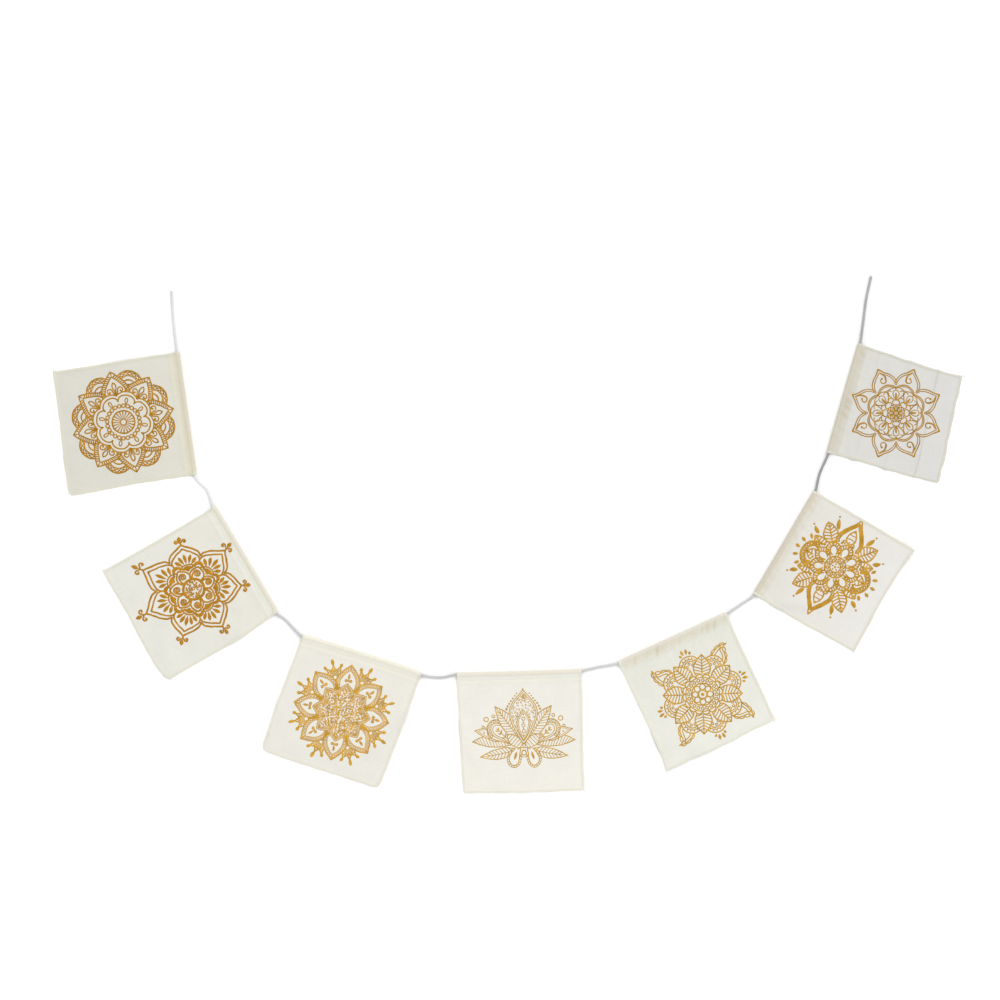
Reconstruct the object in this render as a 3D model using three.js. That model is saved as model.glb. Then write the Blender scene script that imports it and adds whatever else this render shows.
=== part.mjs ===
// A string of seven square cotton flags on one thin cord, laid flat in a wide U.
// Each flag is one piece of cloth: its edge along the cord is folded back and stitched
// into a casing, and the cord runs through all seven casings from end to end.
// Millimetres, +Z up. The flags lie on z = 0, and the origin is under the middle of their box.

import * as THREE from "three";

// Cloth and cord
const CLOTH = 1; // thickness of one layer
const GAP = 0.3; // between two layers of a fold
const CORD_GAP = 0.4; // between a casing and the cord
const CORD_RADIUS = 1.5;
const LYING_HEIGHT = CORD_RADIUS + 0.1; // the cord's centre where it lies on the surface

// Casing, measured from the cord's centre line towards the flag's outer edge
const WRAP_RADIUS = CORD_RADIUS + CORD_GAP + CLOTH / 2; // to the middle of the cloth
const CASED_HEIGHT = CLOTH + CORD_GAP + CORD_RADIUS; // the cord's centre inside a casing
const STITCH_LINE = 7;
const FLAP_END = 10; // raw edge of the folded-back flap
const COVER_END = FLAP_END + 1; // where the panel leaves the flap
const PANEL_START = FLAP_END + 6; // where the panel lies flat again

// Panel
const CORNER_CUT = 0.29; // how far a round corner draws in, for each part of its radius
const PRESSED = 0.15; // folds lower than this are pressed flat
const FOLDS_START = 0.1; // part of the panel next to the casing that has no folds
const FOLDS_FULL = 0.2;

// Steps of the solids. A casing has one step at each end, where the cord starts to bend,
// and a flag's columns keep to the cord's steps, so that the gap between them stays even.
const CORD_SIDES = 8;
const TAIL_STEPS = 4;
const BETWEEN_STEPS = 5;
const CASING_STEPS = 4; // between a casing's two end steps
const COLUMNS_PER_STEP = 3;
const PANEL_ROWS = 11;
const WRAP_STEPS = 7;

// The cord's centre line seen from above, from its left end to its right end.
// The stretch named "casing" lies inside the flag of that number.
const stretches = [
  { name: "left tail", points: [[-403, 331], [-401.5, 307], [-399, 280]] },
  { name: "casing", flag: 1, points: [[-395.8, 259], [-394.8, 250], [-376.4, 121], [-375, 112]] },
  { name: "between", points: [[-370, 103.5], [-361, 94.5]] },
  { name: "casing", flag: 2, points: [[-352.6, 73.5], [-347.6, 65.5], [-281.2, -46], [-277, -54]] },
  { name: "between", points: [[-267, -61.5]] },
  { name: "casing", flag: 3, points: [[-246.5, -81.5], [-237.5, -84], [-112.3, -123.8], [-103.8, -128]] },
  { name: "between", points: [[-81, -131.2]] },
  { name: "casing", flag: 4, points: [[-61, -127.5], [-52, -127.7], [79.5, -123.8], [88.5, -123]] },
  { name: "between", points: [[110, -118.5]] },
  { name: "casing", flag: 5, points: [[133, -114], [141.3, -110.3], [254.6, -58.6], [262.8, -54.8]] },
  { name: "between", points: [[280, -43.5]] },
  { name: "casing", flag: 6, points: [[296.4, -32], [301, -24.3], [364.8, 84.3], [369.2, 92]] },
  { name: "between", points: [[374, 112]] },
  { name: "casing", flag: 7, points: [[385, 138], [387.5, 146.7], [420.2, 260.5], [422.8, 269.2]] },
  { name: "right tail", points: [[426.5, 294], [430, 321], [436, 349.5]] },
];

// One row for each flag. outerStart and outerEnd are its corners away from the cord.
// The bows say how far the start side, the outer edge and the end side stand out from
// a straight line, at a quarter, a half and three quarters of their length.
// roundStart and roundEnd are the radii of the outer corners.
const flags = [
  {
    outerStart: [-546, 236],
    outerEnd: [-525.7, 86.5],
    startBow: [0.5, 0, -0.5],
    outerBow: [-0.5, 0, 1.2],
    endBow: [-0.6, -1, 0],
    roundStart: 2,
    roundEnd: 6,
  },
  {
    outerStart: [-485.8, -3.6],
    outerEnd: [-406.9, -134.3],
    startBow: [-0.6, -0.8, -0.6],
    outerBow: [1, 2.4, 4.6],
    endBow: [2.4, 2.6, 1],
    roundStart: 2,
    roundEnd: 5,
  },
  {
    outerStart: [-296.3, -218.3],
    outerEnd: [-154.4, -265.9],
    startBow: [0.5, 0.9, 0.6],
    outerBow: [0.5, 0, -0.4],
    endBow: [0.6, 0.7, 0.2],
    roundStart: 12,
    roundEnd: 14,
  },
  {
    outerStart: [-52.8, -270.3],
    outerEnd: [92.6, -266.8],
    startBow: [0.6, 0.3, 0.6],
    outerBow: [0.6, 1, 0.3],
    endBow: [0.4, 0, -0.4],
    roundStart: 4,
    roundEnd: 5,
  },
  {
    outerStart: [190.4, -244.7],
    outerEnd: [321, -182.5],
    startBow: [-0.8, -1.8, -2.6],
    outerBow: [-0.4, 0.5, 0],
    endBow: [0, 0.2, 0.6],
    roundStart: 3,
    roundEnd: 3,
  },
  {
    outerStart: [415.6, -100.7],
    outerEnd: [488.6, 21.5],
    startBow: [1, 1.2, 0.4],
    outerBow: [-1.2, -2.6, -2.4],
    endBow: [0.3, 0.5, 0.3],
    roundStart: 2,
    roundEnd: 3,
  },
  {
    outerStart: [516.5, 101.8],
    outerEnd: [546, 230.6],
    startBow: [0, 0.6, 0.8],
    outerBow: [1.2, 0.4, 0],
    endBow: [-1.2, -1.8, -2.2],
    roundStart: 4,
    roundEnd: 2,
  },
];

// Soft folds and lifted corners. A fold runs from one place to another, each given as
// [part of the way along the casing, part of the way out to the outer edge].
const folds = [
  { flag: 1, from: [0.05, 0.5], to: [0.3, 0.62], height: 1.5, width: 12 },
  { flag: 1, from: [0.1, 0.2], to: [0.02, 0.42], height: 1.2, width: 13 },
  { flag: 2, from: [0.55, 0.75], to: [0.95, 0.95], height: 1.6, width: 13 },
  { flag: 2, from: [0.75, 0.2], to: [1, 0.35], height: 1.3, width: 12 },
  { flag: 3, from: [1, 0.35], to: [0.82, 0.7], height: 1.8, width: 13 },
  { flag: 3, from: [0, 0.6], to: [0.2, 0.85], height: 1.2, width: 12 },
  { flag: 4, from: [0, 0.45], to: [0.18, 0.8], height: 1.4, width: 13 },
  { flag: 5, from: [0, 0.72], to: [0.35, 0.9], height: 2.2, width: 13 },
  { flag: 5, from: [0.1, 1], to: [0.6, 0.93], height: 1.6, width: 12 },
  { flag: 6, from: [0.02, 0.16], to: [0.12, 0.45], height: 1.8, width: 12 },
  { flag: 6, from: [1, 1], to: [1, 1], height: 5, width: 20 },
  { flag: 7, from: [0, 0.24], to: [1, 0.2], height: 1.4, width: 12 },
  { flag: 7, from: [0, 0.51], to: [1, 0.5], height: 2, width: 12 },
  { flag: 7, from: [0, 0.78], to: [1, 0.77], height: 2, width: 12 },
];

const cotton = new THREE.MeshStandardMaterial({ color: 0xf1ede2, roughness: 0.95, metalness: 0 });
const twistedCord = new THREE.MeshStandardMaterial({ color: 0xdedddb, roughness: 0.85, metalness: 0 });

const flat = (pair) => new THREE.Vector2(pair[0], pair[1]);

// The cord's whole centre line, with the length along it at the first and the last
// point of each stretch.
function makeRoute() {
  const points = [];
  for (const stretch of stretches) {
    stretch.first = points.length;
    const height = stretch.name === "casing" ? CASED_HEIGHT : LYING_HEIGHT;
    for (const [x, y] of stretch.points) points.push(new THREE.Vector3(x, y, height));
    stretch.last = points.length - 1;
  }
  const route = new THREE.CatmullRomCurve3(points);
  const samples = 40; // between two points
  route.arcLengthDivisions = samples * (points.length - 1);
  const lengths = route.getLengths();
  route.share = (index) => lengths[index * samples] / lengths.at(-1);
  return route;
}

const route = makeRoute();
const casings = stretches.filter((stretch) => stretch.name === "casing");

// Places along the route, as parts of its length: from the last place given, in even steps.
function addSteps(places, end, count) {
  const start = places.at(-1);
  for (let i = 1; i <= count; i++) places.push(THREE.MathUtils.lerp(start, end, i / count));
}

// The places of a casing's steps, with each middle step cut into a number of columns.
function casingPlaces(casing, columns) {
  const places = [route.share(casing.first)];
  addSteps(places, route.share(casing.first + 1), 1);
  addSteps(places, route.share(casing.last - 1), CASING_STEPS * columns);
  addSteps(places, route.share(casing.last), 1);
  return places;
}

// The route in the cord's own steps, which are short between two flags, where it bends.
class SteppedRoute extends THREE.Curve {
  constructor() {
    super();
    this.places = [0];
    for (const casing of casings) {
      const steps = casing.flag === 1 ? TAIL_STEPS : BETWEEN_STEPS;
      addSteps(this.places, route.share(casing.first), steps);
      this.places.push(...casingPlaces(casing, 1).slice(1));
    }
    addSteps(this.places, 1, TAIL_STEPS);
  }

  place(part) {
    const step = part * (this.places.length - 1);
    const before = Math.min(Math.floor(step), this.places.length - 2);
    return THREE.MathUtils.lerp(this.places[before], this.places[before + 1], step - before);
  }

  getPointAt(part, target) {
    return route.getPointAt(this.place(part), target);
  }

  getTangentAt(part, target) {
    return route.getTangentAt(this.place(part), target);
  }
}

function makeCord() {
  const path = new SteppedRoute();
  const ring = [];
  for (let i = 0; i < CORD_SIDES; i++) {
    const angle = ((i + 0.5) / CORD_SIDES) * 2 * Math.PI;
    ring.push(new THREE.Vector2(Math.cos(angle) * CORD_RADIUS, Math.sin(angle) * CORD_RADIUS));
  }
  const geometry = new THREE.ExtrudeGeometry(new THREE.Shape(ring), {
    steps: path.places.length - 1,
    extrudePath: path,
  });
  const cord = new THREE.Mesh(geometry, twistedCord);
  cord.name = "cord";
  return cord;
}

// The middle line of a flag's cloth, cut across its casing: under the cord from the
// flap's raw edge, round the cord, down to the stitches, over the flap and out flat.
// out is the distance from the cord's centre line towards the outer edge, and
// tilt is the direction of the cloth's upper face.
function makeSection(depth) {
  const low = CLOTH / 2;
  const doubled = low + CLOTH + GAP;
  const rows = [];
  for (const out of [FLAP_END, FLAP_END / 2]) rows.push({ out, height: low, tilt: -Math.PI / 2 });
  const reach = Math.hypot(STITCH_LINE, doubled - CASED_HEIGHT);
  const slope = Math.atan2(CASED_HEIGHT - doubled, STITCH_LINE);
  const lastAngle = Math.acos(WRAP_RADIUS / reach) - slope;
  const firstAngle = 1.5 * Math.PI;
  for (let i = 0; i <= WRAP_STEPS; i++) {
    const tilt = THREE.MathUtils.lerp(firstAngle, lastAngle, i / WRAP_STEPS);
    rows.push({
      out: Math.cos(tilt) * WRAP_RADIUS,
      height: CASED_HEIGHT + Math.sin(tilt) * WRAP_RADIUS,
      tilt,
    });
  }
  rows.push({ out: STITCH_LINE, height: doubled, tilt: Math.PI / 2 });
  rows.push({ out: COVER_END, height: doubled, tilt: Math.PI / 2 });
  for (let i = 0; i <= PANEL_ROWS; i++) {
    const out = THREE.MathUtils.lerp(PANEL_START, depth, i / PANEL_ROWS);
    rows.push({ out, height: low, tilt: Math.PI / 2 });
  }
  return rows;
}

// An edge from one corner to another, standing out from the flag's middle by its bows.
function makeEdge(from, to, bows, middle) {
  const across = to.clone().sub(from).normalize();
  const outwards = new THREE.Vector2(across.y, -across.x);
  if (from.clone().add(to).multiplyScalar(0.5).sub(middle).dot(outwards) < 0) outwards.negate();
  const inner = bows.map((bow, i) => {
    const part = (i + 1) / (bows.length + 1);
    return from.clone().lerp(to, part).addScaledVector(outwards, bow);
  });
  return new THREE.SplineCurve([from, ...inner, to]);
}

// How far the cloth rises off the surface at one place of a flag.
function rise(number, along, out, size) {
  let height = 0;
  for (const fold of folds.filter((row) => row.flag === number)) {
    const from = flat(fold.from).multiplyScalar(size);
    const line = flat(fold.to).multiplyScalar(size).sub(from);
    const place = new THREE.Vector2(along, out).multiplyScalar(size).sub(from);
    const part = THREE.MathUtils.clamp(place.dot(line) / Math.max(line.lengthSq(), 1), 0, 1);
    const away = place.addScaledVector(line, -part).length();
    height += fold.height * Math.exp(-((away / fold.width) ** 2));
  }
  return Math.max(0, height - PRESSED) * THREE.MathUtils.smoothstep(out, FOLDS_START, FOLDS_FULL);
}

// A flag: a box of rows by columns whose points are carried to the section's middle
// line and out across the panel, which is stretched between its four edges.
function makeFlag(number) {
  const row = flags[number - 1];
  const casing = casings.find((stretch) => stretch.flag === number);
  const places = casingPlaces(casing, COLUMNS_PER_STEP);
  const columns = places.length - 1;
  const start = flat(casing.points[0]);
  const end = flat(casing.points.at(-1));
  const outerStart = flat(row.outerStart);
  const outerEnd = flat(row.outerEnd);
  const middle = start.clone().add(end).add(outerStart).add(outerEnd).multiplyScalar(0.25);
  const startSide = makeEdge(start, outerStart, row.startBow, middle);
  const endSide = makeEdge(end, outerEnd, row.endBow, middle);
  const outerEdge = makeEdge(outerStart, outerEnd, row.outerBow, middle);
  const depth = (start.distanceTo(outerStart) + end.distanceTo(outerEnd)) / 2;
  const width = start.distanceTo(end);

  function onPanel(onCord, along, out) {
    const place = new THREE.Vector2();
    place.addScaledVector(onCord, 1 - out);
    place.addScaledVector(outerEdge.getPoint(along), out);
    place.addScaledVector(startSide.getPoint(out), 1 - along);
    place.addScaledVector(endSide.getPoint(out), along);
    place.addScaledVector(start, -(1 - along) * (1 - out));
    place.addScaledVector(end, -along * (1 - out));
    place.addScaledVector(outerStart, -(1 - along) * out);
    place.addScaledVector(outerEnd, -along * out);
    for (const [corner, radius] of [[outerStart, row.roundStart], [outerEnd, row.roundEnd]]) {
      const near = Math.max(0, 1 - place.distanceTo(corner) / radius);
      place.lerp(middle, (near * near * CORNER_CUT * radius) / corner.distanceTo(middle));
    }
    return place;
  }

  const section = makeSection(depth);
  const rows = section.length - 1;
  const geometry = new THREE.BoxGeometry(1, 1, 1, columns, rows, 1);
  const points = geometry.getAttribute("position");
  for (let i = 0; i < points.count; i++) {
    const onRoute = places[Math.round((0.5 - points.getX(i)) * columns)];
    const along = (onRoute - places[0]) / (places.at(-1) - places[0]);
    const line = section[Math.round((points.getY(i) + 0.5) * rows)];
    const face = points.getZ(i) > 0 ? CLOTH / 2 : -CLOTH / 2;
    const out = line.out + Math.cos(line.tilt) * face;
    const lifted = line.out > COVER_END ? rise(number, along, line.out / depth, width) : 0;
    const height = line.height + Math.sin(line.tilt) * face + lifted;
    const onCord = flat(route.getPointAt(onRoute).toArray());
    const tangent = route.getTangentAt(onRoute);
    const outwards = new THREE.Vector2(tangent.y, -tangent.x).normalize();
    const wrapped = onCord.clone().addScaledVector(outwards, out);
    const place = out < 0 ? wrapped : onPanel(onCord, along, out / depth);
    points.setXYZ(i, place.x - middle.x, place.y - middle.y, height);
  }
  geometry.computeVertexNormals();
  const flag = new THREE.Mesh(geometry, cotton);
  flag.name = `flag_${number}`;
  flag.position.set(middle.x, middle.y, 0);
  return flag;
}

const bunting = new THREE.Group();
bunting.add(makeCord());
for (const casing of casings) bunting.add(makeFlag(casing.flag));

export default bunting;
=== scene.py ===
"""A string of seven square cotton flags with gold printed motifs on a thin twisted cord, laid
flat in a wide U and seen from straight above.

Metres, +Z up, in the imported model's frame. A place seen from above is a complex number,
x + iy, so that a turn is a multiplication. The motifs are drawn in millimetres.
"""

import bpy
import numpy as np
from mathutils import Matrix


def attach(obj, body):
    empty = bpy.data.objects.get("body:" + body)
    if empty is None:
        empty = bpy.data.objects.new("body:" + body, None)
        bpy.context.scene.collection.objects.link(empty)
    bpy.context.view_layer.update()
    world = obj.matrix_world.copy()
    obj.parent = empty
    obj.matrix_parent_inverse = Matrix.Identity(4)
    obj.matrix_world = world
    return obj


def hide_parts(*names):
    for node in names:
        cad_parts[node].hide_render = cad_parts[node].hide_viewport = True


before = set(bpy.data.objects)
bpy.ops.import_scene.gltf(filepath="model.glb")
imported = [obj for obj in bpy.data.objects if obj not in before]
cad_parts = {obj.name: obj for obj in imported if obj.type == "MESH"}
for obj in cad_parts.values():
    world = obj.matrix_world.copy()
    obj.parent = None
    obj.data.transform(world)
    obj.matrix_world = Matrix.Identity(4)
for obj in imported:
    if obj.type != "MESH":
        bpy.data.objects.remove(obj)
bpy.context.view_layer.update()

MM = 0.001

# The cord and its route, from its left end to its right end, seen from above. A stretch named
# "casing" lies inside the flag of that number.
CORD_DIAMETER = 0.003
CORD_LYING = 0.0016  # height of its centre on the surface
CORD_CASED = 0.0029  # and inside a casing
ROUTE = [
    ("left tail", 0, [-0.403 + 0.331j, -0.4015 + 0.307j, -0.399 + 0.280j]),
    ("casing", 1, [-0.3958 + 0.259j, -0.3948 + 0.250j, -0.3764 + 0.121j, -0.375 + 0.112j]),
    ("between", 0, [-0.370 + 0.1035j, -0.361 + 0.0945j]),
    ("casing", 2, [-0.3526 + 0.0735j, -0.3476 + 0.0655j, -0.2812 - 0.046j, -0.277 - 0.054j]),
    ("between", 0, [-0.267 - 0.0615j]),
    ("casing", 3, [-0.2465 - 0.0815j, -0.2375 - 0.084j, -0.1123 - 0.1238j, -0.1038 - 0.128j]),
    ("between", 0, [-0.081 - 0.1312j]),
    ("casing", 4, [-0.061 - 0.1275j, -0.052 - 0.1277j, 0.0795 - 0.1238j, 0.0885 - 0.123j]),
    ("between", 0, [0.110 - 0.1185j]),
    ("casing", 5, [0.133 - 0.114j, 0.1413 - 0.1103j, 0.2546 - 0.0586j, 0.2628 - 0.0548j]),
    ("between", 0, [0.280 - 0.0435j]),
    ("casing", 6, [0.2964 - 0.032j, 0.301 - 0.0243j, 0.3648 + 0.0843j, 0.3692 + 0.092j]),
    ("between", 0, [0.374 + 0.112j]),
    ("casing", 7, [0.385 + 0.138j, 0.3875 + 0.1467j, 0.4202 + 0.2605j, 0.4228 + 0.2692j]),
    ("right tail", 0, [0.4265 + 0.294j, 0.430 + 0.321j, 0.436 + 0.3495j]),
]
STRANDS = 3
STRAND_PITCH = 0.0085  # length of one turn of the cord's twist
STRAND_GROOVE = 0.13  # depth of the grooves between strands, as a part of the radius
# Screen greys of the cord at some lengths along it: its own grey together with painted shade, which
# makes the stretch between flags 6 and 7 the darkest
CORD_TONES_AND_SHADE = ((0, 227), (0.23, 240), (0.42, 208), (0.62, 203), (0.83, 214), (1.01, 211), (1.19, 158),
              (1.36, 175), (1.44, 183))
STRAND_CROWN = 0.7  # below 1, the strands are flatter on top and the grooves sharper
# Painted shade in the grooves between the strands: how it fades in from the lobes, and how much darker it
# makes a groove
GROOVE_SHADE_FADE = 0.8
GROOVE_PAINTED_SHADE = 0.3  # how much darker a groove is
TWIST_DRIFT = 0.25  # uneven twist, in radians from one of its knots to the next
TWIST_KNOTS = 60
UNEVEN = 0.03  # of the radius
UNEVEN_LENGTH = 0.012
CORD_SIDES = 24
CORD_STEP = 0.0008
ROUTE_SAMPLES = 40  # from one of the route's places to the next

# The loose fibres at each cut end
END_FIBRES = 16
FIBRE_HEADING = 9  # samples of the route, back from its end
FIBRE_SPREAD = 0.36  # of the cord's diameter
FIBRE_ROOT = 0.0006
FIBRE_POINTS = 6
FIBRE_LENGTHS = (0.0010, 0.0028)
FIBRE_RADII = (0.00022, 0.00009)
FIBRE_DROOP = 0.75
FIBRE_LOW = 0.0001

# The flags, seen from above. The bows say how far an edge stands out from a straight line at
# a quarter, a half and three quarters of its length. The rounds are the radii of the two outer
# corners.
FLAGS = {
    1: dict(outer=(-0.546 + 0.236j, -0.5257 + 0.0865j), start_bow=(0.5, 0, -0.5),
            outer_bow=(-0.5, 0, 1.2), end_bow=(-0.6, -1, 0), rounds=(2, 6)),
    2: dict(outer=(-0.4858 - 0.0036j, -0.4069 - 0.1343j), start_bow=(-0.6, -0.8, -0.6),
            outer_bow=(1, 2.4, 4.6), end_bow=(2.4, 2.6, 1), rounds=(2, 5)),
    3: dict(outer=(-0.2963 - 0.2183j, -0.1544 - 0.2659j), start_bow=(0.5, 0.9, 0.6),
            outer_bow=(0.5, 0, -0.4), end_bow=(0.6, 0.7, 0.2), rounds=(12, 14)),
    4: dict(outer=(-0.0528 - 0.2703j, 0.0926 - 0.2668j), start_bow=(0.6, 0.3, 0.6),
            outer_bow=(0.6, 1, 0.3), end_bow=(0.4, 0, -0.4), rounds=(4, 5)),
    5: dict(outer=(0.1904 - 0.2447j, 0.321 - 0.1825j), start_bow=(-0.8, -1.8, -2.6),
            outer_bow=(-0.4, 0.5, 0), end_bow=(0, 0.2, 0.6), rounds=(3, 3)),
    6: dict(outer=(0.4156 - 0.1007j, 0.4886 + 0.0215j), start_bow=(1, 1.2, 0.4),
            outer_bow=(-1.2, -2.6, -2.4), end_bow=(0.3, 0.5, 0.3), rounds=(2, 3)),
    7: dict(outer=(0.5165 + 0.1018j, 0.546 + 0.2306j), start_bow=(0, 0.6, 0.8),
            outer_bow=(1.2, 0.4, 0), end_bow=(-1.2, -1.8, -2.2), rounds=(4, 2)),
}

# Soft folds and lifted corners: flag, from and to as parts of the way along the casing and out
# to the outer edge, height and width in millimetres.
FOLDS = [
    (1, (0.05, 0.5), (0.3, 0.62), 1.5, 12),
    (1, (0.1, 0.2), (0.02, 0.42), 1.2, 13),
    (2, (0.55, 0.75), (0.95, 0.95), 1.6, 13),
    (2, (0.75, 0.2), (1, 0.35), 1.3, 12),
    (3, (1, 0.35), (0.82, 0.7), 1.8, 13),
    (3, (0, 0.6), (0.2, 0.85), 1.2, 12),
    (4, (0, 0.45), (0.18, 0.8), 1.4, 13),
    (5, (0, 0.72), (0.35, 0.9), 2.2, 13),
    (5, (0.1, 1), (0.6, 0.93), 1.6, 12),
    (6, (0.03, 0.16), (0.14, 0.42), 3.0, 8),
    (6, (1, 1), (1, 1), 5, 20),
    (7, (0.02, 0.2), (0.15, 0.13), 2.2, 7),
    (7, (0, 0.24), (1, 0.2), 0.9, 5),
    (7, (0, 0.51), (1, 0.5), 1.3, 5),
    (7, (0, 0.78), (1, 0.77), 1.1, 5),
]

# Painted shade along thin creases: flag, parts of the way out at its start and its end, how much darker
PAINTED_CREASE_SHADES = [(7, 0.24, 0.20, 0.05), (7, 0.51, 0.50, 0.06), (7, 0.78, 0.77, 0.16)]
CREASE_SHADE_WIDTH = 0.0010

# Heights in millimetres and lengths of the wrinkles, and how flat the cloth is pressed
WRINKLES = ((0.16, 0.047), (0.05, 0.019), (0.022, 0.0085))
PRESSED = 0.15
PRESSED_ROUND = 0.08  # how softly a fold leaves the surface
FOLDS_FROM = 0.013  # from the cord, where folds and wrinkles start, and where they are full
FOLDS_FULL = 0.034

# Cloth, and the casing measured from the cord's centre line towards the outer edge
CLOTH = 0.0004
CLEAR = 0.00003  # between the cloth and the surface
WRAP_RADIUS = 0.0024  # to the middle of the cloth
FLAP_END = 0.0102
FLAP_ROWS = (FLAP_END, 0.0098, 0.0075, 0.0050, 0.0025)
WRAP_ROWS = 20  # rows of the cloth up to where it leaves the cord's top
WRAP_TURN = 0.92  # how much of the way round it has turned there
SLOPE_PARTS = (0.25, 0.5, 0.75, 0.92)  # rows from there down to the stitches
SLOPE_SAG = 1.3
STITCH_LINE = 0.0072
SEAM_ROWS = ((0.0080, 0.5), (0.0092, 1), (FLAP_END, 1))  # and how much the folds lift them
SEAM_RISE = 0.0001
COVER_END = 0.0112
PANEL_START = 0.0150
FALL_ROWS = 4  # from the flap's end down to the panel
PANEL_STEP = 0.0020
FINE_STEP = 0.0013  # on the flag with sharp creases
CREASED = 7
CORNER_CUT = 0.29
HEM_WIDTH = 0.0030
HEM_RISE = 0.0004
HEM_STEP = 0.0003  # half the width of the step from a hem down to the panel
EDGE_ROUND = 0.0004
# Rows and columns of the mesh in a hem, from the cloth's edge
HEM_ROWS = np.array([0, 0.0001, 0.0003, 0.0007, HEM_WIDTH / 2, HEM_WIDTH - 0.0002,
                     HEM_WIDTH + 0.0001, HEM_WIDTH + 0.0003])
STRAY = ((0.25, 0.021), (0.10, 0.0052))  # height in millimetres and length of an edge's waves
STRAY_REACH = 0.006
FRAY = {5: 1.4, 7: 2.2}  # how uneven an outer edge is, where it is more so than usual
# Height in millimetres of the puckers along a casing, and the painted shade that darkens their hollows
PUCKERS = (0.24, 0.0)
PUCKERED = {5: (0.50, 0.10), 6: (0.38, 0.06), 7: (0.50, 0.09)}  # and where they stand out
PUCKER_WAVES = ((1, 0.0125), (0.6, 0.0062))  # share and length
PUCKER_FADE = 0.009
# Painted shade in the puckers' hollows: its tint
PUCKER_SHADE_TINT = (0.8, 1.0, 1.4)  # a hollow takes more of the blue than of the red
PUCKER_SLANT = 0.45
# Painted shade in the puckers' hollows: where it is darkest and its reach, and the painted light that the
# ridges gain
PUCKER_SHADE_LINE = 0.0060  # the hollows are darkest here, and fade over this reach
PUCKER_SHADE_REACH = 0.0048
PUCKER_SHADE_EVEN = 0.17  # what the ridges gain, so that the casing keeps its mean colour


def smooth_step(value, start, end):
    """0 before start, 1 after end, and a smooth S between: 3 t squared minus 2 t cubed."""
    part = np.clip((value - start) / (end - start), 0, 1)
    return part * part * (3 - 2 * part)


def waves(places, length, seed, count=9):
    """Smooth noise of about -1 to 1: a sum of sine waves of nearly one length, in directions
    and phases drawn from the seed."""
    draw = np.random.default_rng(seed)
    turns = np.exp(1j * draw.uniform(0, 2 * np.pi, count))
    lengths = length * draw.uniform(0.75, 1.4, count)
    phases = draw.uniform(0, 2 * np.pi, count)
    total = 0
    for turn, wave, phase in zip(turns, lengths, phases):
        total = total + np.sin((places * turn).real * 2 * np.pi / wave + phase)
    return total / np.sqrt(count)


def make_piece(name, points, faces, finish, uv=None, tone=None):
    """A mesh object from an array of points, and arrays of faces with any number of corners.
    uv is one pair and tone one colour for each point."""
    sizes = np.concatenate([np.full(len(group), group.shape[1]) for group in faces])
    corners = np.concatenate([group.ravel() for group in faces]).astype(np.int32)
    mesh = bpy.data.meshes.new(name)
    mesh.vertices.add(len(points))
    mesh.vertices.foreach_set("co", points.astype(np.float32).ravel())
    mesh.loops.add(len(corners))
    mesh.loops.foreach_set("vertex_index", corners)
    mesh.polygons.add(len(sizes))
    mesh.polygons.foreach_set("loop_start", (np.cumsum(sizes) - sizes).astype(np.int32))
    mesh.polygons.foreach_set("use_smooth", np.ones(len(sizes), bool))
    if uv is not None:
        layer = mesh.uv_layers.new(name="UVMap")
        layer.data.foreach_set("uv", uv[corners].astype(np.float32).ravel())
    if tone is not None:
        layer = mesh.color_attributes.new(name="tone", type="FLOAT_COLOR", domain="POINT")
        colours = np.concatenate([tone, np.ones((len(tone), 1))], axis=1)
        layer.data.foreach_set("color", colours.astype(np.float32).ravel())
    mesh.update(calc_edges=True)
    mesh.materials.append(finish)
    piece = bpy.data.objects.new(name, mesh)
    bpy.context.scene.collection.objects.link(piece)
    return piece


def spatial(places, heights):
    """Points in space from places seen from above and their heights."""
    return np.stack([places.real, places.imag, heights], axis=-1)


def tube_faces(rings, sides, first=0):
    """Quads that join rings of points, each with the same number of sides, and two end caps."""
    ring = np.arange(rings - 1)[:, None] * sides
    side = np.arange(sides)[None, :]
    after = (side + 1) % sides
    quads = np.stack([ring + side, ring + side + sides, ring + after + sides, ring + after], axis=-1)
    start = np.arange(sides)[None, :]
    end = (rings - 1) * sides + np.arange(sides)[None, ::-1]
    return [quads.reshape(-1, 4) + first, start + first, end + first]


def threads(paths, radii, sides=5):
    """Round threads: paths holds some paths with the same number of points in space, and a
    circle of its radius stands across each path at each point. Gives all points and faces."""
    ahead = np.gradient(paths, axis=1)
    ahead /= np.linalg.norm(ahead, axis=2, keepdims=True)
    across = np.cross(ahead, (0.0, 0.0, 1.0))
    across /= np.maximum(np.linalg.norm(across, axis=2, keepdims=True), 1e-9)
    up = np.cross(across, ahead)
    angles = np.arange(sides)[:, None] * 2 * np.pi / sides
    ring = across[:, :, None] * np.cos(angles) + up[:, :, None] * np.sin(angles)
    points = paths[:, :, None] + ring * np.broadcast_to(radii, paths.shape[:2])[..., None, None]
    count, rings = paths.shape[:2]
    first = np.arange(count)[:, None, None] * rings * sides
    faces = [(group + first).reshape(-1, group.shape[1]) for group in tube_faces(rings, sides)]
    return points.reshape(-1, 3), faces


def bent(starts, headings, bends, lengths, part):
    """Paths that bend evenly, seen from above: steps of one length, each turned from the
    heading by the bend's part so far, are added up from the start."""
    turned = headings[:, None] + bends[:, None] * part
    steps = np.exp(1j * turned) * (lengths / (len(part) - 1))[:, None]
    return starts[:, None] + np.cumsum(steps, axis=1) - steps[:, :1]


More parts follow.
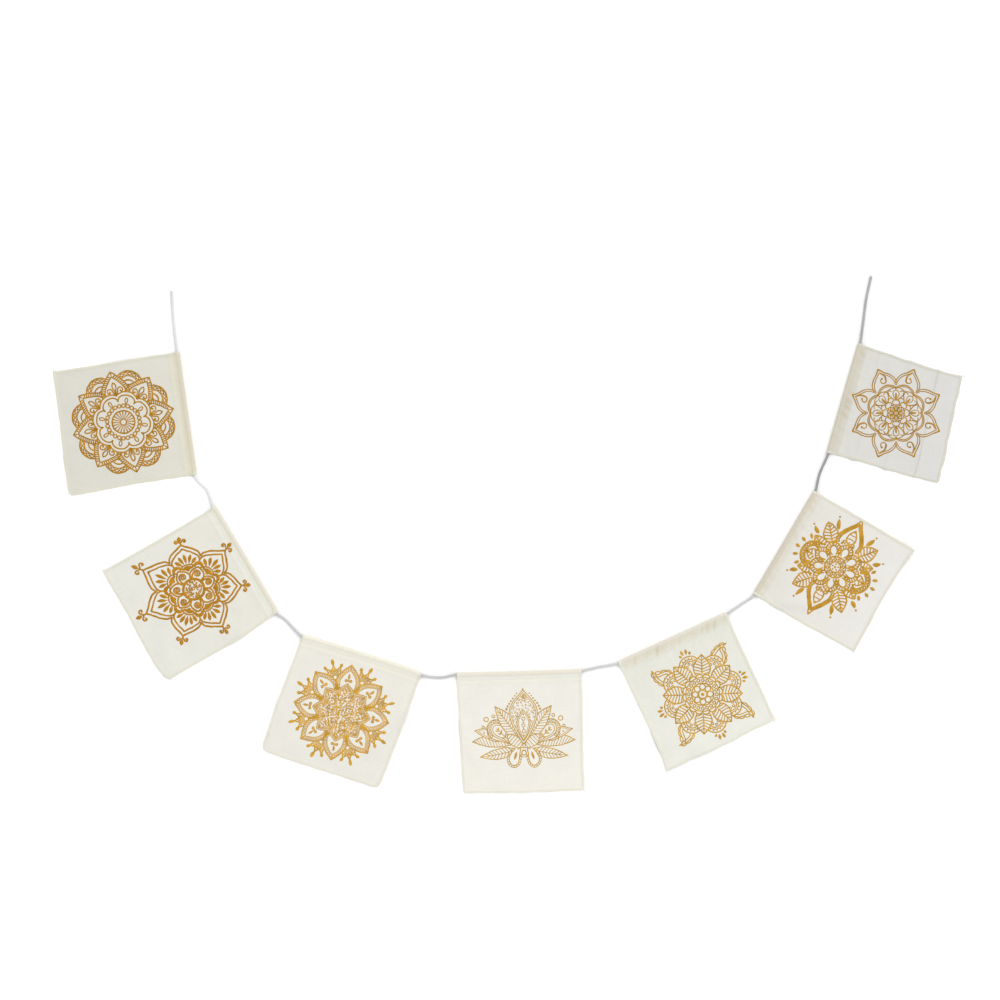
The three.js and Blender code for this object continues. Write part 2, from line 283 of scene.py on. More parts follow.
def catmull_rom(knots, samples):
    """A Catmull-Rom curve through the knots whose steps follow the square root of the distance
    between them. Each part between two knots is a cubic with matching slopes."""
    padded = np.vstack([2 * knots[0] - knots[1], knots, 2 * knots[-1] - knots[-2]])
    steps = np.sqrt(np.linalg.norm(np.diff(padded, axis=0), axis=1))[:, None]
    before, here, after, later = padded[:-3], padded[1:-2], padded[2:-1], padded[3:]
    step_0, step_1, step_2 = steps[:-2], steps[1:-1], steps[2:]
    leave = (here - before) / step_0 - (after - before) / (step_0 + step_1) + (after - here) / step_1
    reach = (after - here) / step_1 - (later - here) / (step_1 + step_2) + (later - after) / step_2
    leave, reach = (leave * step_1)[:, None], (reach * step_1)[:, None]
    here, after = here[:, None], after[:, None]
    t = (np.arange(samples) / samples)[None, :, None]
    curve = (here * (2 * t**3 - 3 * t**2 + 1) + leave * (t**3 - 2 * t**2 + t)
             + after * (3 * t**2 - 2 * t**3) + reach * (t**3 - t**2))
    return np.vstack([curve.reshape(-1, knots.shape[1]), knots[-1]])


# Finishes


NOISE_ROUGHNESS = 0.55
WEAVE = 0.00055  # from one thread of the cloth to the next but one
STREAKS = (1300, 45, 1)  # noise scales across and along a thread
FIBRES = (2600, 260, 1)  # and round and along the cord


class Signal:
    """A value on its way through a material's nodes. Sums on it add Math nodes."""

    def __init__(self, finish, socket):
        self.finish = finish
        self.socket = socket

    def math(self, operation, first, second):
        return self.finish.node("Math", {"operation": operation}, {0: first, 1: second})

    def __add__(self, other):
        return self.math("ADD", self, other)

    def __sub__(self, other):
        return self.math("SUBTRACT", self, other)

    def __rsub__(self, other):
        return self.math("SUBTRACT", other, self)

    def __mul__(self, other):
        return self.math("MULTIPLY", self, other)

    __radd__ = __add__
    __rmul__ = __mul__


class Finish:
    """A material on its Principled shader, and the nodes that lead to it."""

    def __init__(self, name, **plain):
        self.material = bpy.data.materials.new(name)
        self.material.use_nodes = True
        self.tree = self.material.node_tree
        self.shader = self.tree.nodes["Principled BSDF"]
        for socket, value in plain.items():
            self.shader.inputs[socket.replace("_", " ")].default_value = value

    def node(self, kind, settings=None, sockets=None, output=0):
        """Adds a node: first its settings and a ramp's stops, then its sockets' values or links."""
        node = self.tree.nodes.new("ShaderNode" + kind)
        for name, value in (settings or {}).items():
            if name == "stops":
                ramp = node.color_ramp
                while len(ramp.elements) < len(value):
                    ramp.elements.new(0.5)
                for element, (place, colour) in zip(ramp.elements, value):
                    element.position = place
                    element.color = (*colour, 1)
            else:
                setattr(node, name, value)
        for name, value in (sockets or {}).items():
            self.join(value, node.inputs[name])
        return Signal(self, node.outputs[output])

    def join(self, value, socket):
        if isinstance(value, Signal):
            self.tree.links.new(value.socket, socket)
        else:
            socket.default_value = value

    def noise(self, place, scale, detail):
        return self.node("TexNoise", None, {"Vector": place, "Scale": scale, "Detail": detail,
                                            "Roughness": NOISE_ROUGHNESS})

    def stretched(self, place, scales):
        """The place multiplied by a scale for each axis."""
        return self.node("VectorMath", {"operation": "MULTIPLY"}, {0: place, 1: scales})

    def axis(self, place, index):
        """One of the three numbers of a place."""
        return self.node("SeparateXYZ", None, {0: place}, output=index)

    def mix(self, share, first, second, blend="MIX"):
        return self.node("Mix", {"data_type": "RGBA", "blend_type": blend},
                         {0: share, 6: first, 7: second}, output=2)

    def shaded(self, tone, shade):
        """The tone, darker where the shade is below 1 and lighter where it is above."""
        grey = self.node("CombineColor", None, {0: shade, 1: shade, 2: shade})
        return self.mix(1.0, tone, grey, "MULTIPLY")

    def bump(self, height, distance, strength):
        return self.node("Bump", None, {"Height": height, "Distance": distance, "Strength": strength})

    def feed(self, **values):
        for socket, value in values.items():
            self.join(value, self.shader.inputs[socket.replace("_", " ")])
        return self.material


def linear(red, green, blue):
    """A screen colour of 0 to 255 as the light that it stands for."""
    return tuple(((np.array([red, green, blue]) / 255 + 0.055) / 1.055) ** 2.4)


def cotton_finish():
    """Plain-woven unbleached cotton. The weave is two crossed rows of ridges, slubs are long
    thin streaks along both threads, and the tone comes from the cloth's colour layer, which holds
    painted light and shade as well as the cloth's own colour."""
    finish = Finish("unbleached cotton", Roughness=0.92, Specular_IOR_Level=0.25,
                    Sheen_Weight=0.08, Sheen_Roughness=0.5)
    place = finish.node("UVMap", {"uv_map": "UVMap"})
    tone = finish.node("VertexColor", {"layer_name": "tone"})
    across, along, depth = STREAKS
    warp = finish.noise(finish.stretched(place, (across, along, depth)), 1, 2)
    weft = finish.noise(finish.stretched(place, (along, across, depth)), 1, 2)
    slubs = warp * 0.5 + weft * 0.5
    cloud = finish.noise(place, 38, 4)
    turns = [finish.axis(place, index) * (2 * np.pi / WEAVE) for index in (0, 1)]
    ridges = [finish.node("Math", {"operation": "SINE"}, {0: turn}) for turn in turns]
    weave = ridges[0] * ridges[1]
    shade = (slubs - 0.5) * 0.20 + (cloud - 0.5) * 0.10 + weave * 0.012 + 1.0
    normal = finish.bump(weave * 0.5 + slubs * 1.2, 0.00010, 0.6)
    return finish.feed(Base_Color=finish.shaded(tone, shade), Normal=normal, Roughness=0.86 + cloud * 0.12)


def cord_finish():
    """White-grey cotton cord: fine fibres run round the strands, and its colour layer holds painted
    shade that darkens the grooves between the strands and some stretches of the cord."""
    finish = Finish("white-grey cotton cord", Roughness=0.8, Specular_IOR_Level=0.3,
                    Sheen_Weight=0.15)
    place = finish.node("UVMap", {"uv_map": "UVMap"})
    tone = finish.node("VertexColor", {"layer_name": "tone"})
    fibres = finish.noise(finish.stretched(place, FIBRES), 1, 3)
    patches = finish.noise(place, 40, 2)
    shade = (fibres - 0.5) * 0.5 + (patches - 0.5) * 0.3 + 1.0
    return finish.feed(Base_Color=finish.shaded(tone, shade), Normal=finish.bump(fibres, 0.00008, 0.7))


# The cord


def make_route():
    """The cord's centre line through the route's points. Gives its points, the length up to
    each, and for each flag the lengths at the first and the last point of its casing."""
    places = np.concatenate([points for _, _, points in ROUTE])
    heights = np.concatenate([np.full(len(points), CORD_CASED if name == "casing" else CORD_LYING)
                              for name, _, points in ROUTE])
    curve = catmull_rom(spatial(places, heights), ROUTE_SAMPLES)
    lengths = np.concatenate([[0], np.cumsum(np.linalg.norm(np.diff(curve, axis=0), axis=1))])
    ends, index = {}, 0
    for _, number, points in ROUTE:
        last = index + len(points) - 1
        if number:
            ends[number] = lengths[index * ROUTE_SAMPLES], lengths[last * ROUTE_SAMPLES]
        index = last + 1
    return curve, lengths, ends


route, route_lengths, casing_ends = make_route()


def on_route(lengths):
    """Points of the cord's centre line at these lengths along it."""
    return np.stack([np.interp(lengths, route_lengths, route[:, axis]) for axis in range(3)], axis=-1)


def make_cord_ends():
    """Fibres at the two cut ends of the cord: each leaves the end's face and bends evenly."""
    draw = np.random.default_rng(41)
    starts, headings = [], []
    for end, before in ((route[0], route[FIBRE_HEADING - 1]), (route[-1], route[-FIBRE_HEADING])):
        ahead = (end - before)[0] + 1j * (end - before)[1]
        ahead /= abs(ahead)
        offsets = CORD_DIAMETER * FIBRE_SPREAD * np.sqrt(draw.uniform(size=END_FIBRES))
        turns = draw.uniform(0, 2 * np.pi, END_FIBRES)
        places = end[0] + 1j * end[1] - ahead * FIBRE_ROOT + 1j * ahead * offsets * np.cos(turns)
        starts.append(spatial(places, end[2] + offsets * np.sin(turns)))
        headings.append(np.angle(ahead) + np.cos(turns) * offsets / CORD_DIAMETER
                        + draw.normal(0, 0.15, END_FIBRES))
    starts, headings = np.concatenate(starts), np.concatenate(headings)
    part = np.linspace(0, 1, FIBRE_POINTS)
    bends = draw.normal(0, 0.7, len(starts))
    lengths = draw.uniform(*FIBRE_LENGTHS, len(starts))
    places = bent(starts[:, 0] + 1j * starts[:, 1], headings, bends, lengths, part)
    heights = starts[:, 2:] * (1 - part * FIBRE_DROOP) + FIBRE_LOW * part
    points, faces = threads(spatial(places, heights), np.linspace(*FIBRE_RADII, FIBRE_POINTS))
    ends = make_piece("cord_ends", points, faces, end_white)
    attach(ends, "root")
    return ends


def make_cord():
    """The cord: a ring with three lobes stands across the route and turns once for each pitch
    of the twist. Its radius falls between two lobes by the depth of the groove."""
    count = int(route_lengths[-1] / CORD_STEP)
    lengths = np.linspace(0, route_lengths[-1], count)
    path = on_route(lengths)
    ahead = np.gradient(path, axis=0)
    ahead /= np.linalg.norm(ahead, axis=1, keepdims=True)
    across = np.cross(ahead, (0.0, 0.0, 1.0))
    across /= np.linalg.norm(across, axis=1, keepdims=True)
    up = np.cross(across, ahead)
    draw = np.random.default_rng(5)
    angles = np.arange(CORD_SIDES)[None, :] * 2 * np.pi / CORD_SIDES
    drift = np.cumsum(draw.normal(0, TWIST_DRIFT, TWIST_KNOTS))
    turning = lengths * 2 * np.pi / STRAND_PITCH + np.interp(
        lengths, np.linspace(0, route_lengths[-1], TWIST_KNOTS), drift)
    lobes = np.abs(np.cos((angles - turning[:, None]) * STRANDS / 2)) ** STRAND_CROWN
    radius = CORD_DIAMETER / 2 * (1 - STRAND_GROOVE * (1 - lobes))
    radius = radius * (1 + UNEVEN * waves(lengths[:, None] + 0j, UNEVEN_LENGTH, 8))
    points = path[:, None] + (across[:, None] * np.cos(angles)[..., None]
                              + up[:, None] * np.sin(angles)[..., None]) * radius[..., None]
    points[..., 2] = np.maximum(points[..., 2], CLEAR)
    uv = np.stack([np.broadcast_to(angles * CORD_DIAMETER / 2, radius.shape),
                   np.broadcast_to(lengths[:, None], radius.shape)], axis=-1)
    # Painted shade: the grooves between the strands are coloured darker
    depth = ((1 - lobes) ** GROOVE_SHADE_FADE)[..., None]
    grey = np.interp(lengths, *zip(*CORD_TONES_AND_SHADE))
    tone = np.stack(linear(grey, grey, grey - 1), axis=-1)[:, None] * (1 - GROOVE_PAINTED_SHADE * depth)
    cord = make_piece("cord_twisted", points.reshape(-1, 3), tube_faces(count, CORD_SIDES),
                      cord_white, uv.reshape(-1, 2), tone.reshape(-1, 3))
    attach(cord, "root")
    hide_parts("cord")
    make_cord_ends()


# The camera looks straight down at the middle of the photograph.
VIEW_WIDTH = 1.2
VIEW_MIDDLE = -0.00912 + 0.08172j
LENS = 100
SENSOR = 36

camera = bpy.data.objects.new("camera", bpy.data.cameras.new("camera"))
camera.data.lens = LENS
camera.data.sensor_width = SENSOR
camera.location = (VIEW_MIDDLE.real, VIEW_MIDDLE.imag, VIEW_WIDTH * LENS / SENSOR)
bpy.context.scene.collection.objects.link(camera)
bpy.context.scene.camera = camera

cotton = cotton_finish()
cord_white = cord_finish()
end_white = Finish("cord fibre", Roughness=0.85).feed(Base_Color=(*linear(224, 224, 223), 1))
make_cord()

# The flags

# Screen colours of the cloth: the panel near the casing and near the outer edge, the casing on
# its fold, on its slope and at its stitches, and the hems. Besides the cloth's own colour they hold
# painted light and shade: the panel's tones change from flag to flag and from the casing out as
# the light falls off, and the fold and slope of the casing are painted lighter against the shade
# that falls on its steep cloth.
TONES = {
    1: [(228, 226, 213), (223, 221, 210), (223, 217, 196),
        (237, 233, 213), (230, 227, 209), (228, 226, 207)],
    2: [(236, 234, 222), (235, 234, 225), (234, 228, 211),
        (250, 250, 236), (239, 238, 228), (234, 232, 216)],
    3: [(241, 238, 228), (238, 236, 226), (246, 242, 226),
        (250, 250, 237), (243, 240, 226), (238, 235, 220)],
    4: [(243, 241, 231), (245, 242, 232), (239, 233, 217),
        (250, 250, 241), (243, 240, 228), (242, 239, 224)],
    5: [(235, 234, 223), (241, 240, 230), (232, 227, 210),
        (236, 232, 215), (232, 229, 214), (238, 237, 221)],
    6: [(233, 230, 221), (239, 237, 231), (218, 211, 193),
        (232, 227, 212), (230, 227, 217), (234, 230, 215)],
    7: [(225, 224, 217), (225, 224, 220), (216, 210, 192),
        (217, 212, 198), (220, 217, 206), (222, 219, 207)],
}
CASING_STOPS = (0.0008, 0.0045, 0.0085)  # where the casing's three colours are
CASING_FADE = (0.0100, 0.0125)  # and where they give way to the panel's
LIGHT_LEVEL = 1.12  # how bright a white surface is under the lights


def hem_share(from_side, from_end):
    """1 in a hem and 0 on the panel, from the distances to the nearest side and outer edge."""
    return 1 - smooth_step(np.minimum(from_side, from_end), HEM_WIDTH - HEM_STEP, HEM_WIDTH + HEM_STEP)


class Flag:
    """One flag's cloth. along goes from 0 to 1 from the start of its casing to its end, and out
    from 0 at the cord to 1 at the outer edge."""

    def __init__(self, number):
        row = FLAGS[number]
        self.number = number
        self.step = FINE_STEP if number == CREASED else PANEL_STEP
        self.fray = FRAY.get(number, 1.0)
        self.pucker_rise, self.pucker_painted_shade = PUCKERED.get(number, PUCKERS)
        self.ends = casing_ends[number]
        places = on_route(np.array(self.ends))
        self.start, self.end = places[:, 0] + 1j * places[:, 1]
        self.outer_start, self.outer_end = row["outer"]
        self.rounds = row["rounds"]
        self.middle = (self.start + self.end + self.outer_start + self.outer_end) / 4
        self.width = abs(self.end - self.start)
        self.depth = (abs(self.outer_start - self.start) + abs(self.outer_end - self.end)) / 2
        self.start_side = self.make_edge(self.start, self.outer_start, row["start_bow"])
        self.end_side = self.make_edge(self.end, self.outer_end, row["end_bow"])
        self.outer_edge = self.make_edge(self.outer_start, self.outer_end, row["outer_bow"])

    def make_edge(self, start, end, bows):
        """A straight edge plus a bow: a curve of the fourth power through the three bows."""
        outwards = -1j * (end - start) / abs(end - start)
        if (((start + end) / 2 - self.middle) * outwards.conjugate()).real < 0:
            outwards = -outwards
        bow = np.polynomial.Polynomial.fit([0, 0.25, 0.5, 0.75, 1], [0, *bows, 0], 4)
        return lambda part: start + (end - start) * part + outwards * bow(part) * MM

    def on_cord(self, along):
        """Places on the cord's centre line, and the unit directions from it to the outer edge."""
        lengths = self.ends[0] + along * (self.ends[1] - self.ends[0])
        here = on_route(lengths)
        ahead = on_route(lengths + 0.0005) - on_route(lengths - 0.0005)
        outwards = -1j * (ahead[..., 0] + 1j * ahead[..., 1])
        return here[..., 0] + 1j * here[..., 1], outwards / abs(outwards)

    def place(self, along, out):
        """A place on the panel, stretched between the flag's four edges: the two ways of
        drawing straight lines across are added, and the one between the corners is taken off."""
        on_cord, _ = self.on_cord(along)
        place = on_cord * (1 - out) + self.outer_edge(along) * out
        place = place + self.start_side(out) * (1 - along) + self.end_side(out) * along
        near = self.start * (1 - along) + self.end * along
        far = self.outer_start * (1 - along) + self.outer_end * along
        place = place - near * (1 - out) - far * out
        for corner, radius in zip((self.outer_start, self.outer_end), self.rounds):
            radius = radius * MM
            close = np.maximum(0, 1 - abs(place - corner) / radius)
            inwards = (self.middle - corner) / abs(self.middle - corner)
            place = place + inwards * close**2 * CORNER_CUT * radius
        return place

    def gathers(self, distance, out):
        """Slanted puckers across the casing, at a distance from its start and out from the cord:
        long smooth waves and shorter ones on them."""
        places = distance + PUCKER_SLANT * out + 0j
        return sum(share * waves(places, length, self.number * 10 + seed, 5)
                   for seed, (share, length) in enumerate(PUCKER_WAVES, 3))

    def relief(self, place):
        """How far the cloth rises at a place: folds are ridges with a bell section, wrinkles
        are smooth noise, and the casing's gathers fade out across the panel. What would fall
        below the surface is pressed flat."""
        chord = (self.end - self.start) / self.width
        local = (place - self.start) * np.conj(chord)
        out = -local.imag
        height = 0
        corners = self.start, self.end, self.outer_start, self.outer_end
        for number, start, end, rise, width in FOLDS:
            if number == self.number:
                ends = [corners[0] * (1 - a) * (1 - o) + corners[1] * a * (1 - o)
                        + corners[2] * (1 - a) * o + corners[3] * a * o for a, o in (start, end)]
                line = ends[1] - ends[0]
                part = ((place - ends[0]) * np.conj(line)).real / max(abs(line) ** 2, 1e-9)
                away = abs(place - ends[0] - line * np.clip(part, 0, 1))
                height = height + rise * MM * np.exp(-((away / (width * MM)) ** 2))
        height = height - PRESSED * MM
        for seed, (rise, length) in enumerate(WRINKLES):
            height = height + rise * MM * waves(place, length, self.number * 10 + seed)
        height = height * smooth_step(out, FOLDS_FROM, FOLDS_FULL)
        fade = np.exp(-np.maximum(out - COVER_END, 0) / PUCKER_FADE)
        height = height + self.pucker_rise * MM * self.gathers(local.real, out) * fade
        return (height + np.sqrt(height**2 + (PRESSED_ROUND * MM) ** 2)) / 2

    def section(self):
        """The cloth's middle line across the casing, from the flap's raw edge under the cord,
        round it and out to the hem. Rows of out, height, tilt of the outer face, the share of
        the relief that lifts the row, and the share of the hems' thickness."""
        low = CLEAR + CLOTH / 2
        centre = low + WRAP_RADIUS
        doubled = low + CLOTH * 1.25
        down, flat = -np.pi / 2, np.pi / 2
        rows = [(out, low, down, 0, 0) for out in FLAP_ROWS]
        slope = np.arctan2(centre - doubled, STITCH_LINE)
        reach = np.hypot(centre - doubled, STITCH_LINE)
        last = np.arccos(WRAP_RADIUS / reach) - slope
        last = np.pi / 2 - (np.pi / 2 - last) * WRAP_TURN
        for tilt in np.linspace(1.5 * np.pi, last, WRAP_ROWS - len(FLAP_ROWS)):
            share = float(smooth_step(np.sin(tilt), -0.6, 0.9))
            rows.append((np.cos(tilt) * WRAP_RADIUS, centre + np.sin(tilt) * WRAP_RADIUS, tilt,
                         share * 0.9, share))
        top_out, top_height = rows[-1][:2]
        for part in SLOPE_PARTS:
            sag = (1 - part) ** SLOPE_SAG
            rows.append((top_out + (STITCH_LINE - top_out) * part,
                         doubled + (top_height - doubled) * sag, last + (flat - last) * part, 1, 1))
        rows.append((STITCH_LINE, doubled, flat, 0.25, 1))
        seam = doubled + SEAM_RISE
        rows += [(out, seam, flat, lift, 1) for out, lift in SEAM_ROWS]
        for part in np.linspace(0, 1, FALL_ROWS + 1)[1:]:
            out = FLAP_END + (PANEL_START - FLAP_END) * part
            fall = float(smooth_step(part, 0, 1))
            rows.append((out, seam + (low - seam) * fall, flat, 1, 1))
        inner = self.depth - HEM_ROWS[-1]
        count = int((inner - PANEL_START) / self.step)
        panel = np.linspace(PANEL_START, inner, count + 1)[1:]
        rows += [(out, low, flat, 1, 1) for out in (*panel, *(self.depth - HEM_ROWS[-2::-1]))]
        return np.array(rows).T

    def top(self, place):
        """The height of the cloth's upper face at a place, also on the casing."""
        along = ((place - self.start) * np.conj(self.end - self.start)).real / self.width**2
        on_cord, outwards = self.on_cord(np.clip(along, 0, 1))
        out = ((place - on_cord) * np.conj(outwards)).real
        outs, heights, _, lifts, _ = self.section()[:, WRAP_ROWS - 1:]
        return np.interp(out, outs, heights) + CLOTH / 2 + np.interp(out, outs, lifts) * self.relief(place)

    def columns(self):
        """Parts of the way along the casing, closer together in the hems."""
        hem = HEM_ROWS / self.width
        count = int(self.width / self.step)
        inner = np.linspace(hem[-1], 1 - hem[-1], count)[1:-1]
        return np.concatenate([hem, inner, 1 - hem[::-1]])

    def make(self):
        """The cloth as a closed mesh. Its upper and its lower face lie half the cloth's
        thickness to either side of the middle line, and meet in a blunt edge all round."""
        out, height, tilt, lift, hemmed = (row[:, None] for row in self.section())
        along = self.columns()[None, :]
        on_cord, outwards = self.on_cord(along)
        from_side = np.minimum(along, 1 - along) * self.width
        from_end = self.depth - out
        from_flap = np.where(tilt < 0, FLAP_END - out, 1.0)
        stray = sum(rise * MM * waves(on_cord + outwards * out, length, self.number * 10 + seed)
                    for seed, (rise, length) in enumerate(STRAY, 5))

        def surface(face):
            hem = hem_share(from_side, from_end) * hemmed
            close = np.minimum(np.minimum(from_side, from_end), from_flap)
            blunt = np.sqrt(1 - np.clip(1 - close / EDGE_ROUND, 0, 1) ** 2)
            thick = (CLOTH / 2 + (hem * HEM_RISE if face > 0 else 0)) * blunt * face
            reach = out + np.cos(tilt) * thick
            on_panel = self.place(along, reach / self.depth)
            place = np.where(reach < 0, on_cord + outwards * reach, on_panel)
            side = (self.end - self.start) / self.width
            place = place + side * stray * (np.exp(-(1 - along) * self.width / STRAY_REACH)
                                            - np.exp(-along * self.width / STRAY_REACH))
            fray = self.fray * np.exp(-np.maximum(from_end, 0) / STRAY_REACH)
            place = place + outwards * stray * fray
            return place, height + np.sin(tilt) * thick + lift * self.relief(place)

        top = surface(1)
        bottom = surface(-1)
        rows, columns = top[0].shape
        index = np.arange(rows * columns).reshape(rows, columns)
        under = index.copy()
        under[1:-1, 1:-1] = rows * columns + np.arange((rows - 2) * (columns - 2)).reshape(rows - 2, -1)
        faces = []
        for grid, order in ((index, 1), (under, -1)):
            quads = [grid[:-1, :-1], grid[1:, :-1], grid[1:, 1:], grid[:-1, 1:]][::order]
            faces.append(np.stack(quads, axis=-1).reshape(-1, 4))
        points = np.concatenate([spatial(*top).reshape(-1, 3),
                                 spatial(*bottom)[1:-1, 1:-1].reshape(-1, 3)])
        steps = np.hypot(np.diff(out, axis=0), np.diff(height, axis=0))
        length = np.concatenate([[[0]], np.cumsum(steps, axis=0)])
        across = np.broadcast_to(along * self.width, (rows, columns))
        uv = np.stack([across, np.broadcast_to(length, (rows, columns))], axis=-1)
        tone = self.tone(out, from_side, from_end)
        uv, tone = (np.concatenate([layer.reshape(rows * columns, -1),
                                    layer[1:-1, 1:-1].reshape((rows - 2) * (columns - 2), -1)])
                    for layer in (uv, tone))
        cloth = make_piece(f"flag_{self.number}_cloth", points, faces, cotton, uv, tone)
        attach(cloth, "root")
        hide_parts(f"flag_{self.number}")
        return cloth

    def tone(self, out, from_side, from_end):
        """Colours of the cloth: the panel's two tones blend from the casing to the outer edge,
        and the casing's doubled band and the hems have their own. These carry painted light and
        shade along with the cloth's colour, and painted shade darkens the creases and the puckers'
        hollows."""
        near, far, *casing, hems = (np.array(linear(*colour)) for colour in TONES[self.number])
        share = (out / self.depth)[..., None]
        colour = near * (1 - share) + far * share
        # The casing's band: its fold and slope colours carry painted light and shade
        band = (1 - smooth_step(out, *CASING_FADE))[..., None]
        shares = np.stack([np.interp(out, CASING_STOPS, stop) for stop in np.eye(3)], axis=-1)
        colour = colour * (1 - band) + shares @ np.array(casing) * band
        hem = hem_share(from_side, from_end)[..., None]
        colour = colour * (1 - hem) + hems * hem
        # Painted shade along the creases
        for number, start, end, depth in PAINTED_CREASE_SHADES:
            if number == self.number:
                line = start + (end - start) * self.columns()[None, :]
                away = out - line * self.depth
                colour = colour * (1 - depth * np.exp(-((away / CREASE_SHADE_WIDTH) ** 2)))[..., None]
        # Painted shade in the puckers' hollows, and painted light on their ridges
        painted_hollow_shade = np.maximum(-self.gathers(self.columns()[None, :] * self.width, out), 0) - PUCKER_SHADE_EVEN
        painted_hollow_shade = painted_hollow_shade * np.exp(-(((out - PUCKER_SHADE_LINE) / PUCKER_SHADE_REACH) ** 2)) * self.pucker_painted_shade
        colour = colour * (1 - painted_hollow_shade[..., None] * np.array(PUCKER_SHADE_TINT))
        return colour / LIGHT_LEVEL


# The gold motifs. Each is drawn in millimetres from its middle, x to the right and y up in the
# photo, from the back to the front.

ARC_STEP = 9  # degrees at most from one place on an arc to the next
STROKE_STEP = 0.95  # millimetres at most from one place on a stroke to the next
STROKE_BEND = 0.42  # and radians
LEAF_POINTS = 9
LEAF_ROUND = 0.8  # below 1, leaves are fuller
LEAF_TIP = 0.05  # width in millimetres
DOT_POINTS = 7
BUMP_POINTS = 7


def through(*knots):
    """A smooth curve through places."""
    knots = np.array(knots, complex)
    curve = catmull_rom(np.stack([knots.real, knots.imag], axis=1), 12)
    return curve[:, 0] + 1j * curve[:, 1]


def polar(radius, angle):
    """A place at a distance from the middle, and at an angle in degrees."""
    return radius * np.exp(1j * np.radians(angle))


def arc(middle, radius, start, end):
    """Part of a circle between two angles in degrees."""
    count = max(4, int(abs(end - start) / ARC_STEP) + 2)
    return middle + polar(radius, np.linspace(start, end, count))


def ring(middle, radius):
    return arc(middle, radius, 0, 360)


def curl(start, facing, size, turns, tight):
    """A spiral that starts at a place in a direction in degrees and winds to the left, or to
    the right if size is negative. Its radius falls evenly to the tight share of the size."""
    angle = np.linspace(0, turns * 2 * np.pi, max(6, int(turns * 26)))
    left = 1j * polar(1, facing)
    radius = size * (1 - (1 - tight) * angle / angle[-1])
    return start + left * size - left * radius * np.exp(1j * angle * np.sign(size))


def spread(curve, shares):
    """Places at these shares of a curve's length."""
    curve = np.asarray(curve, complex)
    lengths = np.concatenate([[0], np.cumsum(abs(np.diff(curve)))])
    at = np.asarray(shares) * lengths[-1]
    return np.interp(at, lengths, curve.real) + 1j * np.interp(at, lengths, curve.imag)


def evenly(curve, count):
    """Places at equal distances along a curve, with both its ends."""
    return spread(curve, np.linspace(0, 1, count))


def angles(start, count):
    """Turns by equal steps all the way round, from a start in degrees."""
    return polar(1, start + np.arange(count) * 360 / count)


def mirrored(side):
    """A closed outline from one side of it, which starts and ends on the axis."""
    return np.concatenate([side, side.conj()[::-1]])


def upper(curve):
    """The part of a curve above the axis."""
    return curve[curve.imag > 0]


def inside(places, outline):
    """Which places lie within a closed outline: a line from such a place to the right crosses
    the outline an odd number of times."""
    found = np.zeros(len(places), bool)
    x, y = outline.real, outline.imag
    low, high = (x.min(), y.min()), (x.max(), y.max())
    near = ((places.real > low[0]) & (places.real < high[0])
            & (places.imag > low[1]) & (places.imag < high[1]))
    if not near.any():
        return found
    px, py = places.real[near, None], places.imag[near, None]
    x2, y2 = np.roll(x, -1), np.roll(y, -1)
    spans = (y > py) != (y2 > py)
    rise = np.where(y2 == y, 1e-12, y2 - y)
    crossing = px < x + (py - y) / rise * (x2 - x)
    found[near] = (spans & crossing).sum(axis=1) % 2 == 1
    return found


